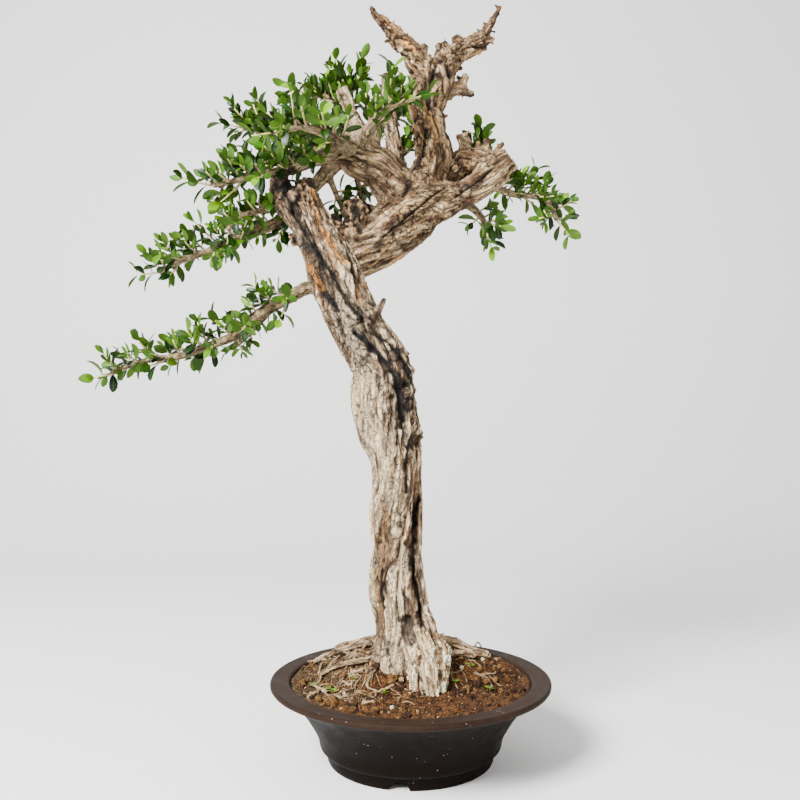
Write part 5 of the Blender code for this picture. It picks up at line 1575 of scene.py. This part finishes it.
# Blades as one set of points: each a thin closed leaf, folded along its midrib and drooping to the tip.
def leafBlades(blades, ages, seed):
    chance = np.random.default_rng(seed)
    count = len(blades)
    root, side, tip = (np.array([blade[k] for blade in blades]) for k in range(3))
    length = np.linalg.norm(tip - root, axis=1)[:, None]
    heading = (tip - root) / length
    side = side - heading * (side * heading).sum(1)[:, None]
    side /= np.linalg.norm(side, axis=1)[:, None]
    upper = np.cross(side, heading)
    flip = np.where(upper[:, 2] < 0, -1.0, 1.0)[:, None]
    upper, side = upper * flip, side * flip
    t = np.array(leafLook["stations"])
    width = np.array(leafLook["widths"]) * leafLook["widthShare"] / 2
    droop = leafLook["droop"] * chance.uniform(0.2, 1.6, count)
    twist = chance.uniform(-0.35, 0.35, count)
    fold = math.radians(leafLook["foldDegrees"]) * chance.uniform(0.3, 1.5, count)
    broad = chance.uniform(0.85, 1.18, count)
    # across the blade: four points over the upper side from edge to edge, then the lower midrib
    u = np.array([-1.0, -0.5, 0.0, 0.5, 1.0, 0.0])
    raised = np.array([0.0, 1.0, 1.0, 1.0, 0.0, -1.0]) * leafLook["thickness"] / 2
    angle = twist[:, None] * t[None, :]
    sideways = side[:, None] * np.cos(angle)[..., None] + upper[:, None] * np.sin(angle)[..., None]
    upwards = upper[:, None] * np.cos(angle)[..., None] - side[:, None] * np.sin(angle)[..., None]
    bow = length * droop[:, None] * 2.2 * (t - t**2)[None, :]
    spine = root[:, None] + heading[:, None] * (length * t[None])[..., None] + upper[:, None] * bow[..., None]
    half = length * broad[:, None] * width[None]
    across = half[..., None] * u[None, None]
    thick = raised[None, None] * np.minimum(1, half[..., None] / 0.5)
    lift = np.abs(across) * np.sin(fold)[:, None, None] + thick
    flat = across * np.cos(fold)[:, None, None]
    points = spine[:, :, None] + sideways[:, :, None] * flat[..., None]
    points = points + upwards[:, :, None] * lift[..., None]
    rings, sides = len(t), len(u)
    quads, caps = ringFaces(rings, sides)
    quads, caps = quads[:, ::-1], caps[:, ::-1]
    first = (np.arange(count) * rings * sides)[:, None, None]
    tone = np.ones((count, rings, sides, 4))
    tone[..., 0] = np.asarray(ages)[:, None, None]
    tone[..., 1] = chance.uniform(0, 1, count)[:, None, None]
    tone[..., 2] = np.abs(u)[None, None]
    lower = np.tile((np.arange(len(quads)) % sides >= 4).astype(float), count)
    under = np.concatenate([lower, np.zeros(count * len(caps))])
    faces = [(quads[None] + first).reshape(-1, 4), (caps[None] + first).reshape(-1, 3)]
    return points.reshape(-1, 3), faces, tone.reshape(-1, 4), under


# A leaf's age from 0 to 1, by its share of the way along the twig.
def ageOf(share, chance):
    return min(1.0, max(0.0, share + chance.uniform(-0.25, 0.25)))


# More sprays on a live branch, each turned round it by the golden angle from the last: bowed twigs with
# pairs of leaves set crosswise. A twig or leaf that would enter the wood is left out.
def moreSprays(name, wood):
    count, firstShare, twigLength = leafLook["more"][name]
    chance = random.Random("more-" + name)
    rows = smoothPath(branchPaths[name], 1.5)
    tangents, sideA, sideB, _ = framesAlong(rows[:, :3])
    twigs, blades, ages = [], [], []
    for number in range(count):
        share = firstShare + (1 - firstShare) * (number + chance.uniform(0.1, 0.9)) / count
        index = min(len(rows) - 1, round(share * (len(rows) - 1)))
        turn = number * math.radians(leafLook["turnDegrees"]) + chance.uniform(-0.4, 0.4)
        around = sideA[index] * math.cos(turn) + sideB[index] * math.sin(turn)
        direction = tangents[index] * chance.uniform(0.4, 1.0) + around * 0.8 + np.array([0, 0, 0.5])
        direction /= np.linalg.norm(direction)
        length = twigLength * chance.uniform(0.6, 1.25)
        root = rows[index, :3] + direction * rows[index, 3] * 0.6
        side = np.cross(direction, [0.0, 0.0, 1.0])
        side /= max(np.linalg.norm(side), 1e-3)
        other = np.cross(direction, side)
        bow = np.array([0, 0, chance.uniform(0.05, 0.22) * length])
        start = Vector(root + direction * (rows[index, 3] + 2))
        if wood.ray_cast(start, Vector(direction), length + 4)[0] is not None:
            continue
        twigs.append([root + direction * length * s + bow * s * s for s in (0, 0.35, 0.7, 1.0)])
        pairs = max(2, round(length / leafLook["pairSpacing"]))
        for pair in range(pairs + 1):
            s = (pair + 0.9) / (pairs + 0.9)
            at = root + direction * length * s + bow * s * s
            for sign in (-1, 1):
                if chance.random() < leafLook["missing"]:
                    continue
                pitch = math.radians(chance.uniform(15, 45) + 28 * s)
                heading = (side if pair % 2 else other) * sign * math.cos(pitch) + direction * math.sin(pitch)
                heading = heading + np.array([0, 0, chance.uniform(0.0, 0.35)])
                heading /= np.linalg.norm(heading)
                size = chance.uniform(*leafLook["length"]) * (1.08 - 0.38 * s)
                across = np.cross(heading, direction)
                across = across + 0.3 * np.array([chance.uniform(-1, 1) for _ in range(3)])
                tip = at + heading * size
                place, normal, _, _ = wood.find_nearest(Vector(tip))
                if (Vector(tip) - place).dot(normal) < leafLook["clear"]:
                    continue
                blades.append((at, across, tip))
                ages.append(ageOf(0.25 + 0.55 * s, chance))
    return twigs, blades, ages


# All foliage of one live branch: its CAD sprays as fine leaves and twigs, and more sprays between them.
def makeFoliage(name, wood):
    start = "spray_" + name + "_"
    nodes = sorted(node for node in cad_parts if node.startswith(start) and node[len(start) :].isdigit())
    chance = random.Random("ages-" + name)
    twigs, blades, ages = [], [], []
    for node in nodes:
        line, found = readSpray(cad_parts[node])
        twigs.append([line[0], line[0] * 0.5 + line[1] * 0.5, line[1], line[2]])
        reach = np.linalg.norm(line[2] - line[0])
        for blade in found:
            blades.append(blade)
            ages.append(ageOf(0.15 + 0.6 * np.linalg.norm(blade[0] - line[0]) / reach, chance))
    extra = moreSprays(name, wood)
    twigs, blades, ages = twigs + extra[0], blades + extra[1], ages + extra[2]
    points, faces, tone, under = leafBlades(blades, ages, len(name))
    looks = {"sharpDegrees": 60, "tone": tone, "under": under}
    makePiece("leaves_" + name, points, faces, leafMaterial, "leaf", nodes, **looks)
    paths = [smoothPath([(*p, r) for p, r in zip(line, leafLook["twigRadii"])], 2.5) for line in twigs]
    points, faces, share = joinTubes(paths, 6)
    tint = blendColours(srgb(*leafLook["twigWood"]), srgb(*leafLook["twigTip"]), rise(0.1, 0.9, share))
    makePiece("twigs_" + name, points, faces, twigMaterial, "wood", tint=withAlpha(tint))
    return len(blades)


# Small green seedlings on the soil: four leaves in two levels, turned by a quarter from each other.
def makeSeedlings():
    chance = random.Random(8)
    blades = []
    for x, y in leafLook["seedlings"]:
        ground = float(soilHeight(x, y))
        for number in range(4):
            turn = number * 1.57 + chance.uniform(-0.4, 0.4)
            reach = np.array([math.cos(turn), math.sin(turn), 0.45])
            at = np.array([x, y, ground + 1.6 + 0.6 * (number > 1)])
            tip = at + reach * chance.uniform(*leafLook["seedlingLength"])
            blades.append((at, np.array([-reach[1], reach[0], 0.0]), tip))
    points, faces, tone, under = leafBlades(blades, [0.9] * len(blades), 77)
    makePiece("seedlings", points, faces, leafMaterial, "leaf", tone=tone, under=under)


# The CAD wood as a search tree, in mm from the pot's axis.
def woodSearch():
    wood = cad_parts["wood"]
    faces = [tuple(face.vertices) for face in wood.data.polygons]
    return BVHTree.FromPolygons([tuple(p) for p in pointsOf(wood).tolist()], faces)


# The two CAD pieces that keep their own mesh: the drain mesh and the tie wire.
def dressSmallParts():
    looks = (
        ("drain_mesh", makeMaterial("drainMesh", feedPlain(srgb(38, 38, 38)), Roughness=0.6)),
        ("tie_wire", makeMaterial("tieWire", feedPlain(srgb(52, 44, 38)), Roughness=0.45, Metallic=0.6)),
    )
    for nodeName, material in looks:
        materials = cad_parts[nodeName].data.materials
        materials.clear()
        materials.append(material)


setStudio()
print("stage: studio")
makePot()
makeSoil()
makeLumps()
makeRootlets()
makeSeedlings()
dressSmallParts()
print("stage: pot and soil")
wood = woodSearch()
leafCount = sum(makeFoliage(name, wood) for name in branchPaths)
print("stage: foliage,", leafCount, "leaves")
makeWood()
print("stage: wood")
